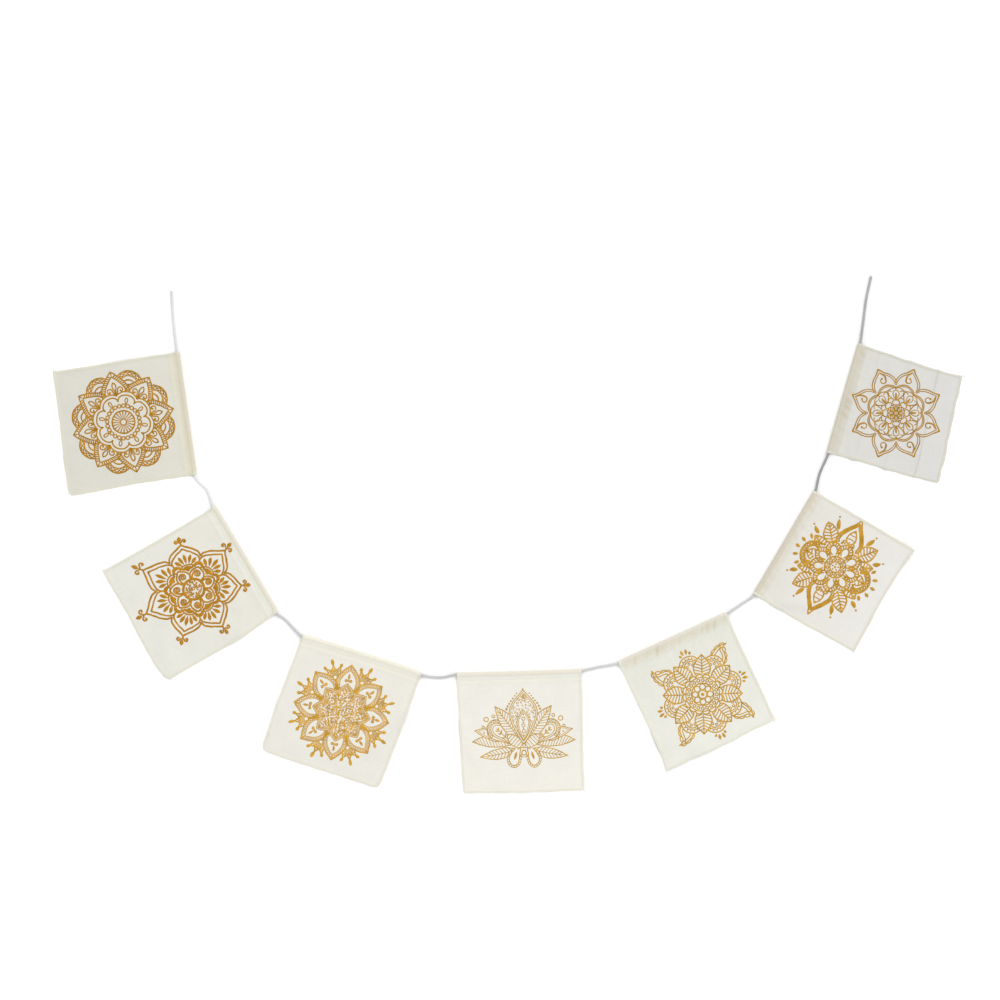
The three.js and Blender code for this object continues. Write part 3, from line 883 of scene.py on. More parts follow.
class Motif:
    """A motif in gold ink, drawn in millimetres from its middle, from the back to the front."""

    def __init__(self):
        self.strokes = []

    def line(self, points, width=1.0, turns=(1,), mirror=False):
        """A stroke of ink along a curve, once for each turn, and mirrored too if asked. More
        than one width are spread evenly along it."""
        points = np.asarray(points, complex)
        bends = abs(np.angle(np.exp(1j * np.diff(np.angle(np.diff(points)))))).sum()
        length = abs(np.diff(points)).sum()
        shares = np.linspace(0, 1, int(max(3, length / STROKE_STEP, bends / STROKE_BEND)) + 1)
        points = spread(points, shares)
        widths = np.atleast_1d(np.asarray(width, float))
        widths = np.interp(shares, np.linspace(0, 1, len(widths)), widths)
        for turn in turns:
            self.strokes.append((points * turn, widths))
            if mirror:
                self.strokes.append((points.conj() * turn, widths))

    def leaf(self, start, end, width, bow=0.0, turns=(1,), mirror=False, blunt=0.5):
        """A solid leaf or drop from one place to another, widest after the blunt share of its
        length, with its spine bowed to the left by so many millimetres."""
        part = np.linspace(0, 1, LEAF_POINTS)
        left = 1j * (end - start) / abs(end - start)
        spine = start + (end - start) * part + left * bow * np.sin(np.pi * part)
        power = np.log(0.5) / np.log(blunt)
        widths = width * np.sin(np.pi * part**power) ** LEAF_ROUND + LEAF_TIP
        self.line(spine, widths, turns, mirror)

    def dots(self, places, radius, turns=(1,), mirror=False):
        """Solid dots: short strokes as wide at each point as a circle is there."""
        part = np.linspace(0, np.pi, DOT_POINTS)
        for place in np.atleast_1d(places):
            points = place - radius * np.cos(part)
            widths = 2 * radius * np.sin(part)
            for turn in turns:
                self.strokes.append((points * turn, widths))
                if mirror:
                    self.strokes.append((points.conj() * turn, widths))

    def rings(self, places, radius, width, turns=(1,), mirror=False):
        for place in np.atleast_1d(places):
            self.line(ring(place, radius), width, turns, mirror)

    def rungs(self, one, other, count, width, turns, mirror):
        """Short lines between two curves, at equal shares of their lengths."""
        for start, end in zip(evenly(one, count), evenly(other, count)):
            self.line([start, end], width, turns, mirror)

    def veins(self, one, span, other, reach, count, width, turns, mirror):
        """Slanted lines from a span of one curve to a reach of another, both given as shares
        of their lengths."""
        self.rungs(spread(one, np.linspace(*span, count)), spread(other, np.linspace(*reach, count)),
                   count, width, turns, mirror)

    def scallops(self, curve, count, height, width, turns=(1,)):
        """A row of small round bumps to the left of a curve."""
        knots = evenly(curve, count + 1)
        part = np.linspace(0, np.pi, BUMP_POINTS)
        for start, end in zip(knots[:-1], knots[1:]):
            middle, half = (start + end) / 2, (end - start) / 2
            bump = middle - half * np.cos(part) + 1j * half / abs(half) * height * np.sin(part)
            self.line(bump, width, turns)

    def warp(self, function):
        """Moves all the ink drawn so far, each place by the function."""
        self.strokes = [(function(points), widths) for points, widths in self.strokes]

    def clear(self, outline, turns=(1,), mirror=False):
        """Takes away the ink inside a closed outline, to draw something in front."""
        for turn in turns:
            for shape in (outline, outline.conj()) if mirror else (outline,):
                self.strokes = [part for stroke in self.strokes
                                for part in cut(stroke, shape * turn)]


def cut(stroke, outline):
    """The parts of a stroke that lie outside a closed outline, found at a quarter of its
    steps."""
    points, widths = stroke
    hidden = inside(points, outline)
    if not hidden.any():
        return [stroke]
    if hidden.all():
        return []
    count = (len(points) - 1) * 4 + 1
    shares, fine = np.linspace(0, 1, len(points)), np.linspace(0, 1, count)
    points = np.interp(fine, shares, points.real) + 1j * np.interp(fine, shares, points.imag)
    widths = np.interp(fine, shares, widths)
    shown = np.concatenate([[False], ~inside(points, outline), [False]]).astype(int)
    starts, ends = np.flatnonzero(np.diff(shown) == 1), np.flatnonzero(np.diff(shown) == -1)
    parts = []
    for start, end in zip(starts, ends):
        if end - start > 3:
            keep = np.unique(np.append(np.arange(start, end, 4), end - 1))
            parts.append((points[keep], widths[keep]))
    return parts


def beside(curve, distance):
    """A curve a distance to the left of another."""
    ahead = np.gradient(curve)
    return curve + 1j * ahead / abs(ahead) * distance


def draw_1(motif):
    """A mandala: round scallops behind pointed petals with a laddered border, a flower with
    eight lobes, a ring of beads and a wheel."""
    petals, between = angles(15, 8), angles(37.5, 8)
    motif.line(arc(44.6, 17, -100, 100), [1.0, 1.7, 1.0], between)
    round_link = np.linspace(0, 2 * np.pi, 14)
    for place in evenly(arc(44.6, 14.0, -84, 84), 9):
        link = (place - 44.6) / 14.0
        motif.line(place + link * (1.45 * np.sin(round_link) + 2.3j * np.cos(round_link)), 0.8, between)
    motif.line(arc(44.6, 11.3, -90, 90), 0.9, between)
    motif.line(arc(42.4, 8.6, -85, 85), [0.7, 1.5, 0.7], between)
    motif.line(arc(40.6, 5.0, -80, 80), [0.6, 1.2, 0.6], between)
    side = through(24 + 13.0j, 32 + 16.6j, 41 + 16.2j, 50 + 11.0j, 57 + 5.2j, 62 + 0j)
    inner = beside(side, -4.4)
    motif.clear(mirrored(side), petals)
    motif.line(side, 1.2, petals, True)
    motif.line(upper(inner), 1.05, petals, True)
    shares = (np.arange(14) + 0.5) / 16
    for start, end in zip(spread(side, shares), spread(inner, shares)):
        motif.line([start, end], 1.05, petals, True)
    motif.line([57.5 + 0j, 61 + 0j], 1.0, petals)
    motif.line(through(34, 38.5 + 0.8j, 43.4 + 2.3j, 46.6 + 1.6j, 48.2), 1.15, petals, True)
    motif.line(through(33.6 + 1.0j, 36.8 + 2.6j, 40.4 + 3.8j, 42.0 + 6.4j, 40.4 + 9.0j, 37.6 + 8.8j,
                       36.6 + 6.8j, 38.4 + 6.0j), [1.5, 1.1, 1.1, 1.7], petals, True)
    lobe = through(*polar(np.array([32.3, 34.0, 36.2, 36.7, 36.2, 34.0, 32.3]),
                          np.array([-22.5, -18, -9, 0, 9, 18, 22.5])))
    motif.clear(np.concatenate([lobe * turn for turn in between]))
    motif.line(lobe, 1.15, between)
    motif.line(through(*polar(np.array([25.2, 28.2, 31.4, 32.4, 31.4, 28.2, 25.2]),
                              np.array([-22.5, -20.6, -12, 0, 12, 20.6, 22.5]))), 1.25, between)
    motif.line(through(21.8, 23.6 + 1.1j, 26.8 + 1.7j, 28.7 + 0.9j, 29.0), 0.9, between, True)
    motif.rings(evenly(ring(0, 19.6), 25)[:-1], 2.1, 1.0)
    motif.line(ring(0, 13.6), 1.35)
    for turn in angles(4, 20):
        motif.line([4.4 * turn, 12.6 * turn], [0.3, 1.2])
    motif.line(ring(0, 3.6), 0.9)


SPECKLE_GAP = 2.4
SPECKLE_TRIES = 12  # for each ring or dot
LACE_TRIES = 12  # for each square of the gap


def speckle(motif, reach, count, seed):
    """Small rings and dots strewn inside a circle, each clear of the others."""
    draw = np.random.default_rng(seed)
    placed = []
    for _ in range(count * SPECKLE_TRIES):
        place = polar(reach * np.sqrt(draw.uniform()), draw.uniform(0, 360))
        if len(placed) < count and all(abs(place - other) > SPECKLE_GAP for other in placed):
            placed.append(place)
            if draw.uniform() < 0.45:
                motif.dots(place, draw.uniform(0.6, 1.2))
            else:
                motif.rings(place, draw.uniform(0.8, 1.2), 0.6)


def lace(motif, outline, gap, width, seed):
    """Small curls strewn inside a closed outline, each in a direction and of a size drawn from
    the seed, and clear of the others by the gap."""
    draw = np.random.default_rng(seed)
    low = outline.real.min() + 1j * outline.imag.min()
    high = outline.real.max() + 1j * outline.imag.max()
    wide, tall = (high - low).real, (high - low).imag
    tries = int(LACE_TRIES * wide * tall / gap**2)
    places = low + wide * draw.uniform(size=tries) + 1j * tall * draw.uniform(size=tries)
    placed = np.array([], complex)
    for place in places[inside(places, outline)]:
        if np.all(abs(placed - place) > gap):
            placed = np.append(placed, place)
            facing, size = draw.uniform(0, 360), gap * draw.uniform(0.38, 0.58)
            shape = curl(place + polar(size, facing), facing + 90, size, draw.uniform(0.55, 1.0), 0.5)
            motif.line(shape, width * draw.uniform(0.8, 1.2))


def draw_2(motif):
    """A flower with seven pointed petals, a fan of leaves in each and a curled finial on each
    tip, seven spirals in smaller petals, and a speckled disc."""
    petals, between = angles(106.8, 7), angles(81.1, 7)
    motif.line(through(36.9 + 17.8j, 41.8 + 17.2j, 48 + 12.2j, 53 + 5.7j, 57.6),
               [1.5, 1.7, 1.5], petals, True)
    motif.line(through(33.4 + 16.1j, 38 + 15.2j, 44.2 + 9.9j, 48.8 + 4.2j, 52.4),
               [1.5, 1.3, 1.5], petals, True)
    motif.line([37.6, 30.5], 1.7, between)
    motif.line(through(21.2 + 10.3j, 25 + 8.4j, 28.2 + 5.0j, 32), 1.35, between, True)
    motif.line(through(13 + 6.6j, 16.8 + 7.9j, 20.6 + 7.3j, 23.8 + 5.0j, 27.6), 1.4, between, True)
    spiral = np.concatenate([through(12.8 + 4.4j, 15.6 + 4.9j, 19.2 + 4.5j)[:-1],
                             curl(19.2 + 4.5j, 0, -4.4, 1.75, 0.12)])
    motif.line(spiral, [1.7, 1.5, 1.3], between)
    motif.line(through(25.6 + 9.2j, 29.4 + 6.0j, 31.2, 29.4 - 6.0j, 25.6 - 9.2j), 1.2, petals)
    motif.leaf(25.6 - 6.6j, 25.6 + 6.6j, 4.4, -1.6, petals)
    for direction in (-74, -50, -25, 0, 25, 50, 74):
        far = 18.6 - abs(direction) * 0.045
        motif.leaf(26.2 + polar(6.8, direction), 26.2 + polar(far, direction), 3.5, 0, petals,
                   blunt=0.6)
    motif.line([57.4, 61.4], 1.4, petals)
    motif.line(through(60.8, 61.6 + 1.9j, 63.3 + 3.5j, 63.5 + 5.4j, 61.8 + 6.5j, 60.1 + 5.4j,
                       61.0 + 4.2j), [1.2, 1.5, 1.5, 1.9], petals, True)
    motif.leaf(62.2, 69.0, 4.3, 0, petals, blunt=0.52)
    motif.line(ring(0, 12.4), 2.5)
    speckle(motif, 10.2, 36, 3)
    # the print is uneven: where the seven tips and the first one again really point and reach
    directions = np.array([106.8, 51.3, 4.4, -52.6, -103.1, -152.7, -200.3, -253.2])
    stretches = np.array([54.9, 59.3, 57.1, 56.4, 57.4, 64, 65.3, 54.9]) / 57.6
    even = directions[0] - np.arange(8) * 360 / 7

    def uneven(points):
        """Turns and stretches what lies between two tips evenly, and more towards the tips."""
        angle = even[0] - (even[0] - np.degrees(np.angle(points))) % 360
        share = np.minimum(abs(points) / 57, 1.2)
        turned = np.interp(angle, even[::-1], directions[::-1])
        stretch = np.interp(angle, even[::-1], stretches[::-1])
        return polar(abs(points) * (1 + (stretch - 1) * share), turned)

    motif.warp(uneven)


def draw_3(motif):
    """A mandala: crowns with three spikes behind eight petals with a beaded border and a
    trefoil, round a lacy flower."""
    petals, between = angles(-12.5, 8), angles(10, 8)
    for direction, reach in ((-38, 17.0), (0, 20.5), (38, 17.0)):
        turn = polar(1, direction)
        motif.line(43 + turn * through(6.2 - 4.4j, 9.6 - 2.2j, 14.0), 1.5, between)
        motif.line(43 + turn * through(6.2 + 4.4j, 9.6 + 2.2j, 14.0), 1.5, between)
        motif.leaf(43 + turn * 12.0, 43 + turn * (reach + 1.6), 3.9, 0, between, blunt=0.6)
        motif.rings(43 + turn * 9.0, 1.0, 0.75, between)
    motif.line(arc(43, 6.6, -105, 105), 1.0, between)
    motif.rings(evenly(arc(43, 4.7, -110, 110), 9), 0.8, 0.7, between)
    motif.line(ring(43, 2.7), 1.3, between)
    motif.rings(np.array([38.6, 37.4 + 3.0j, 37.4 - 3.0j, 42 + 8.6j, 42 - 8.6j, 36]), 0.95, 0.75,
                between)
    motif.line(through(38, 37.5 + 3j, 40 + 6.5j, 45 + 10j), 0.9, between, True)
    side = through(27 + 13.0j, 34 + 14.4j, 42 + 13.2j, 50 + 8.4j, 54.4 + 3.9j, 58)
    motif.clear(mirrored(side), petals)
    motif.line(side, 1.3, petals, True)
    motif.line(upper(beside(side, -4.6)), 0.95, petals, True)
    motif.rings(spread(beside(side, -2.3), (np.arange(10) + 0.4) / 10.8), 1.25, 0.7, petals, True)
    motif.line([54.0, 57.4], 2.2, petals)
    motif.leaf(39.0, 47.4, 2.7, 0, petals, blunt=0.6)
    motif.line(ring(38.6 + 2.7j, 1.15), 1.5, petals, True)
    motif.dots(38.6, 1.1, petals)
    motif.line(ring(30.3, 1.6), 1.9, between)
    motif.dots(np.array([30.3 + 3.2j, 27.6 + 1.2j, 27.6 - 1.2j]), 0.9, between, True)
    lobe = through(17.4 + 7.2j, 21 + 9.3j, 26.5 + 8.3j, 31.5 + 4.6j, 35.4)
    motif.clear(mirrored(lobe), petals)
    motif.clear(ring(0, 19.0))
    motif.line(lobe, 1.0, petals, True)
    motif.rings(spread(beside(lobe, -2.3), np.linspace(0.12, 0.88, 6)), 1.0, 0.8, petals, True)
    around = np.arange(0, 360, 3)
    flower = polar(24.0 + 7.0 * np.cos(np.radians(8 * (around + 12.5))), around)
    lace(motif, flower, 2.15, 0.95, 12)


def leaf_shape(base, tip, half, lean, full):
    """The two sides of a pointed leaf from base to tip, each through three places. lean moves
    its middle to the left, and full is where it is widest."""
    axis = tip - base
    left = 1j * axis / abs(axis)
    near = base + axis * full * 0.45
    middle = base + axis * full
    far = base + axis * (full + (1 - full) * 0.55)
    return [through(base, near + left * (side * 0.78 + lean * 0.6), middle + left * (side + lean),
                    far + left * (side * 0.62 + lean * 0.7), tip) for side in (half, -half)]


def draw_4(motif):
    """A lotus: pairs of leaves and round drops fan out from a small ring, with a tall pointed
    petal full of curls in the middle and rows of dots beside it. It is drawn with its axis to
    the right, turned up, and mirrored to both sides."""
    up = (1j,)

    def pair(base, tip, half, lean, full, width):
        """A leaf on either side. Gives its two sides."""
        one, other = leaf_shape(base, tip, half, lean, full)
        motif.clear(np.concatenate([one, other[::-1]]), up, True)
        motif.line(one, width, up, True)
        motif.line(other, width, up, True)
        return one, other

    # long leaves that point to the sides
    one, other = pair(-26 + 8j, -34.3 + 52.5j, 6.2, 1.0, 0.5, 1.1)
    spine = through(-26 + 8j, -31 + 28j, -34.3 + 52.5j)
    for side in (one, other):
        motif.veins(side, (0.16, 0.84), spine, (0.06, 0.74), 9, 0.85, up, True)
    motif.line(spine, 0.85, up, True)
    one, other = pair(-19 + 10j, -15.8 + 61.5j, 6.6, -1.5, 0.62, 1.1)
    motif.veins(one, (0.1, 0.86), other, (0.22, 0.96), 13, 0.85, up, True)
    one, other = pair(-14 + 24j, -2.6 + 58.5j, 7.4, -2.2, 0.4, 1.1)
    motif.line(beside(one, -1.8)[5:-4], 0.7, up, True)
    motif.line(beside(other, 1.8)[5:-4], 0.7, up, True)
    motif.rings(np.array([-7.5 + 42j, -9.5 + 36j]), 2.0, 0.7, up, True)
    motif.dots(np.array([-5.4 + 47.5j, -12 + 41.5j, -4.8 + 43.4j, -12.6 + 34j]), 1.0, up, True)
    # round drops with a string of beads and a sprig
    drop = through(-20 + 14j, -16 + 27j, -12.6 + 38j, -4.5 + 43.6j, 4.6 + 42.6j, 9.8 + 35.5j,
                   8.2 + 26.5j, 0 + 19j)
    motif.clear(drop, up, True)
    motif.line(drop, 1.1, up, True)
    motif.rings(spread(beside(drop, -2.0), np.linspace(0.40, 0.92, 9)), 1.4, 0.9, up, True)
    motif.line(through(-20 + 14j, -14.6 + 25.5j, -9.6 + 35.5j, -2.6 + 39.4j, 3.8 + 37.6j,
                       5.8 + 31.5j, 2.6 + 24.5j, -6 + 18j, -19 + 13.4j), 0.95, up, True)
    motif.line(through(-18 + 15.4j, -12.4 + 25.6j, -8.0 + 34j, -2.2 + 37.2j, 2.2 + 35.4j,
                       3.6 + 30.5j, 0.4 + 24.6j, -7 + 19.4j, -17.6 + 15.2j), 0.95, up, True)
    motif.line(through(-15.5 + 17.4j, -8 + 25.0j, -0.5 + 32.6j), 0.95, up, True)
    for base, tip in ((-11.5 + 21.4j, -11.6 + 26.6j), (-7 + 26j, -6.8 + 31.6j),
                      (-11.5 + 21.4j, -6.4 + 21.8j), (-7 + 26j, -1.8 + 26.6j),
                      (-3.5 + 29.6j, -3.2 + 34.4j), (-3.5 + 29.6j, 1.2 + 30.4j)):
        motif.leaf(base, tip, 1.7, 0.3, up, True)
    # veined petals beside the middle one
    base, tip = -20 + 1.5j, 25.8 + 33.8j
    one, other = pair(base, tip, 8.6, -0.8, 0.56, 1.15)
    spine = through(base, base + (tip - base) * 0.5 - 0.8j, tip)
    motif.line(spine, 0.9, up, True)
    for side in (one, other):
        motif.veins(side, (0.24, 0.9), spine, (0.14, 0.8), 11, 0.85, up, True)
    # hatched lower folds beside the base
    one, other = pair(-24 + 1j, -7.5 + 20j, 6.0, 0.5, 0.55, 1.0)
    motif.veins(one, (0.15, 0.9), other, (0.15, 0.9), 7, 0.9, up, True)
    # the middle petal, its curls and the bud in it
    side = through(-20, -12 + 5.4j, 0 + 11.5j, 10 + 15.6j, 20.5 + 16.8j, 30 + 12.8j, 38 + 6.2j, 45.8)
    motif.clear(mirrored(side), up)
    motif.line(side, 1.15, up, True)
    motif.line([44.4 + 0j, 47 + 0j], 1.4, up)
    motif.line(upper(beside(side, -2.0)), 0.85, up, True)
    lace(motif, mirrored(upper(beside(side, -3.4))) * up[0], 3.0, 0.75, 7)
    motif.leaf(34.0, 40.0, 2.2, 0, up)
    bud = through(-15, -8 + 4.2j, 0 + 7.0j, 8 + 7.6j, 15 + 4.6j, 21.0)
    motif.clear(mirrored(bud), up)
    motif.line(bud, 1.0, up, True)
    motif.line(upper(beside(bud, -1.7)), 0.75, up, True)
    motif.rings(np.array([10.6, 2.6, -4.6]), 1.9, 0.95, up)
    motif.dots(np.array([15.6, 6.6, -1.0, -9.0]), 0.95, up)
    # drops below, and the small ring between them
    loop = through(-25.0 + 4.0j, -31 + 5.0j, -37 + 5.8j, -43.0 + 7.8j, -45.6 + 12.0j, -43.0 + 16.4j,
                   -37 + 18.2j, -31 + 15.6j, -25.5 + 11.4j)
    motif.clear(loop, up, True)
    motif.line(loop, 1.15, up, True)
    within = beside(loop, 2.3)
    motif.line(within[3:-3], 0.8, up, True)
    motif.veins(loop, (0.18, 0.84), within, (0.18, 0.84), 12, 0.75, up, True)
    motif.leaf(-28.5 + 8.6j, -38.5 + 12.0j, 3.0, 0, up, True)
    motif.line(arc(-30.1, 5.2, 105, 255), 0.95, up)
    motif.line(ring(-30.1, 2.7), 1.25, up)
    motif.line(through(-24.5 + 0j, -24 + 4j, -26 + 7.5j), 0.9, up, True)
    # dots and rings outside
    row = through(41.2 + 7.5j, 34.5 + 12.6j, 28 + 17.4j, 22.4 + 20.2j)
    for place, size in zip(evenly(row, 7), np.linspace(0.85, 1.45, 7)):
        motif.dots(place, size, up, True)
    motif.rings(10.5 + 44.8j, 2.6, 1.1, up, True)
    motif.rings(14.2 + 36.0j, 1.75, 1.0, up, True)
    motif.rings(1.5 + 48.4j, 1.45, 0.95, up, True)
    motif.warp(lambda points: (points + 0.6) * np.exp(0.022j) + 1.3)


def paisley(middle, facing, size):
    """The outline of a drop with a bent tip, anticlockwise from its tip."""
    shape = through(0.75 + 2.35j, 0.02 + 1.95j, -0.65 + 1.2j, -1.0 + 0.3j, -0.8 - 0.6j, -1j,
                    0.8 - 0.6j, 1.0 + 0.25j, 0.7 + 0.95j, 0.38 + 1.45j, 0.42 + 1.9j, 0.75 + 2.35j)
    return middle + shape * size * polar(1, facing - 90)


def paisleys(motif, middle, facing, size, turns):
    """A paisley with a second line inside, scallops outside and a small flower."""
    outline = paisley(middle, facing, size)
    motif.clear(outline, turns)
    motif.line(outline, 1.2, turns)
    motif.line(spread(beside(outline, size * 0.36), np.linspace(0.09, 0.88, 60)), 1.1, turns)
    edge = spread(beside(outline, -0.5), np.linspace(0.93, 0.03, 40))
    motif.scallops(edge, int(size * 1.3), 2.0, 1.1, turns)
    for direction in np.arange(5) * 72 + facing:
        motif.leaf(middle + polar(0.8, direction), middle + polar(size * 0.44, direction),
                   2.0, 0, turns)


def hatched(motif, base, tip, half, turns, mirror, count):
    """A pointed leaf with a spine and slanted veins."""
    one, other = leaf_shape(base, tip, half, 0, 0.5)
    motif.clear(np.concatenate([one, other[::-1]]), turns, mirror)
    motif.line(one, 1.3, turns, mirror)
    motif.line(other, 1.3, turns, mirror)
    spine = np.array([base, tip])
    motif.line(spine, 1.1, turns, mirror)
    for side in (one, other):
        motif.veins(side, (0.24, 0.86), spine, (0.12, 0.76), count, 1.05, turns, mirror)


def draw_5(motif):
    """A round flower: eight hatched leaves over eight round fans, a beaded wheel in the
    middle, four paisleys behind on the diagonals, and small leaves between them."""
    eight, gaps, diagonal, cross = angles(47, 8), angles(24.5, 8), angles(69.5, 4), angles(24.5, 4)
    paisleys(motif, 46.5 - 2.6j, 12, 8.4, diagonal)
    for direction, reach in ((-34, 12.5), (-12, 15.5), (12, 15.5), (34, 12.5)):
        motif.leaf(43 + polar(8.4, direction), 43 + polar(reach, direction), 3.1, 0, cross,
                   blunt=0.55)
    motif.clear(arc(35.5, 13.4, -180, 180), gaps)
    motif.line(arc(35.5, 13.4, -110, 110), 1.3, gaps)
    motif.scallops(arc(35.5, 11.4, 100, -100), 9, -2.0, 1.1, gaps)
    motif.line(arc(35.5, 7.2, -100, 100), 1.2, gaps)
    motif.rings(evenly(arc(35.5, 4.0, -70, 70), 3), 1.3, 1.0, gaps)
    hatched(motif, 17, 47.5, 10.2, eight, False, 7)
    motif.clear(ring(0, 24.4))
    motif.scallops(ring(0, 21.6)[::-1], 16, 3.0, 1.3)
    motif.line(ring(0, 20.4), 1.2)
    motif.rings(evenly(ring(0, 17.0), 21)[:-1], 1.7, 1.15)
    motif.line(ring(0, 13.4), 1.3)
    motif.line(through(5.0, 8.0 + 3.4j, 11.2 + 2.6j, 13.0), 1.15, eight, True)
    motif.line(ring(0, 4.9), 1.2)
    motif.dots(0, 1.9)


def draw_6(motif):
    """A tall pattern: a pointed bud above and below a wheel of round petals, a paisley on
    either side, hatched leaves on the diagonals and fans of small leaves between them."""
    upright = polar(1, 59.6)
    ends, sides = (upright, -upright), (upright * 1j, -upright * 1j)
    for direction, near, far in ((25, 45, 58), (56, 45, 55)):
        motif.leaf(polar(near, direction), polar(far, direction), 4.6, 0.5, ends, True,
                   blunt=0.45)
        motif.dots(polar(far + 2.6, direction), 1.1, ends, True)
    hatched(motif, polar(24, 60), polar(45, 62), 7.0, ends, True, 5)
    hatched(motif, 22 + 16j, 43 + 34j, 8.8, ends, True, 6)
    for direction in (-52, -26, 0, 26, 52):
        motif.leaf(29 + polar(19.4, direction), 29 + polar(26.0, direction), 3.6, 0, sides,
                   blunt=0.55)
    motif.line(arc(29, 17.0, -100, 100), 1.3, sides)
    motif.rings(evenly(arc(29, 14.2, -92, 92), 13), 1.5, 1.1, sides)
    motif.line(arc(29, 11.4, -95, 95), 1.2, sides)
    hatched(motif, 25, 39.4, 6.4, sides, False, 4)
    bud = through(22 + 9.0j, 29 + 15.4j, 38 + 15.6j, 48 + 10.4j, 57 + 4.0j, 65)
    motif.clear(mirrored(bud), ends)
    motif.line(bud, 1.3, ends, True)
    border = beside(bud, -3.4)
    motif.veins(beside(bud, -0.4), (0.04, 0.8), border, (0.05, 0.9), 15, 1.05, ends, True)
    motif.line(border[border.imag > 0.3], 1.15, ends, True)
    motif.line(through(31, 36 + 5.2j, 43 + 4.4j, 50), 1.15, ends, True)
    motif.rungs(through(33, 37 + 4.0j, 43 + 3.4j, 48), [34.0, 47.4], 4, 0.95, ends, True)
    motif.line(curl(29.6 + 6.4j, 60, -2.6, 1.1, 0.4), 1.15, ends, True)
    motif.clear(ring(0, 31.0))
    wheel = angles(14.6, 9)
    petal = through(13.6 + 4.9j, 19 + 8.6j, 25.4 + 7.9j, 29.4 + 3.8j, 30.2)
    motif.line(petal, 1.3, wheel, True)
    inner = through(15.0 + 2.2j, 19.4 + 4.2j, 23.4 + 3.6j, 25.6 + 1.6j, 26.0)
    motif.line(inner, 1.1, wheel, True)
    motif.veins(petal, (0.16, 0.96), inner, (0.16, 0.96), 6, 1.05, wheel, True)
    motif.dots(30.0, 1.3, angles(34.6, 9))
    motif.line(ring(0, 12.8), 1.4)
    motif.rings(evenly(ring(0, 9.6), 13)[:-1], 1.5, 1.1)
    motif.line(ring(0, 6.4), 1.3)
    motif.dots(3.6, 0.9, angles(0, 5))
    motif.dots(0, 1.3)


def draw_7(motif):
    """A star of eight pointed petals in double lines with a curl in each, over a ring of
    arcs, round lobes with a drop in each, and a small dark rosette."""
    petals, between = angles(22.5, 8), angles(0, 8)
    motif.line(through(33.9 + 14.3j, 39 + 14.6j, 46 + 10.6j, 51 + 5.0j, 56.6),
               [1.0, 1.0, 1.1, 1.8], petals, True)
    motif.line(through(31.8 + 12.6j, 37.4 + 12.5j, 43.6 + 9.4j, 48.6 + 4.2j, 52.4),
               0.9, petals, True)
    hook = np.concatenate([through(50.8 + 0.6j, 46.0 + 4.2j, 41.5 + 4.2j)[:-1],
                           curl(41.5 + 4.2j, 180, 3.6, 0.72, 0.8)])
    for turn, hand in zip(petals, (-1, 1, -1, -1, -1, 1, 1, 1)):
        shape = hook if hand > 0 else hook.conj()
        motif.line(shape, [0.9, 2.0, 1.1, 1.0], (turn,))
        motif.dots(shape[-1], 1.15, (turn,))
    motif.line(arc(21.2, 14.0, -59, 59), [0.9, 1.3, 0.9], petals)
    motif.line(arc(20.4, 13.0, -60, 60), 0.85, petals)
    motif.line(through(15.4, 17.4 + 4.0j, 21.5 + 8.4j, 26 + 9.5j, 29.4 + 6.0j, 30.8),
               0.9, between, True)
    motif.line(through(16.6, 19.8 + 2.6j, 23.6 + 3.6j, 26.6 + 2.4j, 27.8), 0.85, between, True)
    motif.leaf(16.0, 24.6, 2.2, 0, between, blunt=0.6)
    motif.line(through(polar(26.8, -11), polar(28.4, 0), polar(26.8, 11)), 0.85, petals)
    motif.line(arc(15.2, 3.6, -100, 100), 0.85, petals)
    motif.line(through(9.8 + 1.0j, 12.0 + 0.9j, 14.4 + 1.4j, 14.6 + 2.8j),
               [1.2, 0.9, 1.2], petals, True)
    motif.line(through(9.2, 10.4 + 1.6j, 9.4 + 3.4j), 0.9, petals, True)
    motif.line(through(2.8, 5.2 + 1.9j, 7.4 + 1.7j, 9.0), 1.0, between, True)
    motif.line(through(3.6, 5.6 + 0.9j, 7.8), 0.9, petals, True)
    motif.dots(6.2, 0.7, between)
    motif.line(ring(0, 2.3), 0.9)
    motif.dots(0, 0.8)


# The middle of each motif, its drawing, the screen colour of its ink, and how far the ink has
# spread sideways in millimetres
PRINTS = {
    1: (-0.4609 + 0.1753j, draw_1, (182, 130, 24), 0.28),
    2: (-0.3763 - 0.0253j, draw_2, (186, 132, 30), 0.39),
    3: (-0.1993 - 0.1733j, draw_3, (211, 162, 50), 0.12),
    4: (0.0173 - 0.1913j, draw_4, (204, 162, 72), 0.06),
    5: (0.2341 - 0.1514j, draw_5, (202, 156, 50), 0.16),
    6: (0.3930 + 0.0012j, draw_6, (197, 149, 48), 0.30),
    7: (0.4660 + 0.1860j, draw_7, (178, 132, 36), 0.19),
}
INK_RISE = 0.00006
INK_LAYERS = 0.00005  # how much higher the last stroke lies than the first
INK_SUNK = 0.00003  # how far its edges reach into the cloth
INK_BEVEL = 0.15  # in millimetres, as are the next five
INK_FINEST = 0.15  # half the width of the finest line
END_REACH = 0.6  # how far at most ink runs past a stroke's end
WOBBLE = 0.14
WOBBLE_LENGTH = 8.5
PATCHES = ((0.10, 14), (0.05, 4))  # how much lighter the ink is in patches, and their length
END_WIDTH = 0.4  # as a part of the stroke's width
FLAT_LEAST = 0.6  # of the width, where the bevels would take more


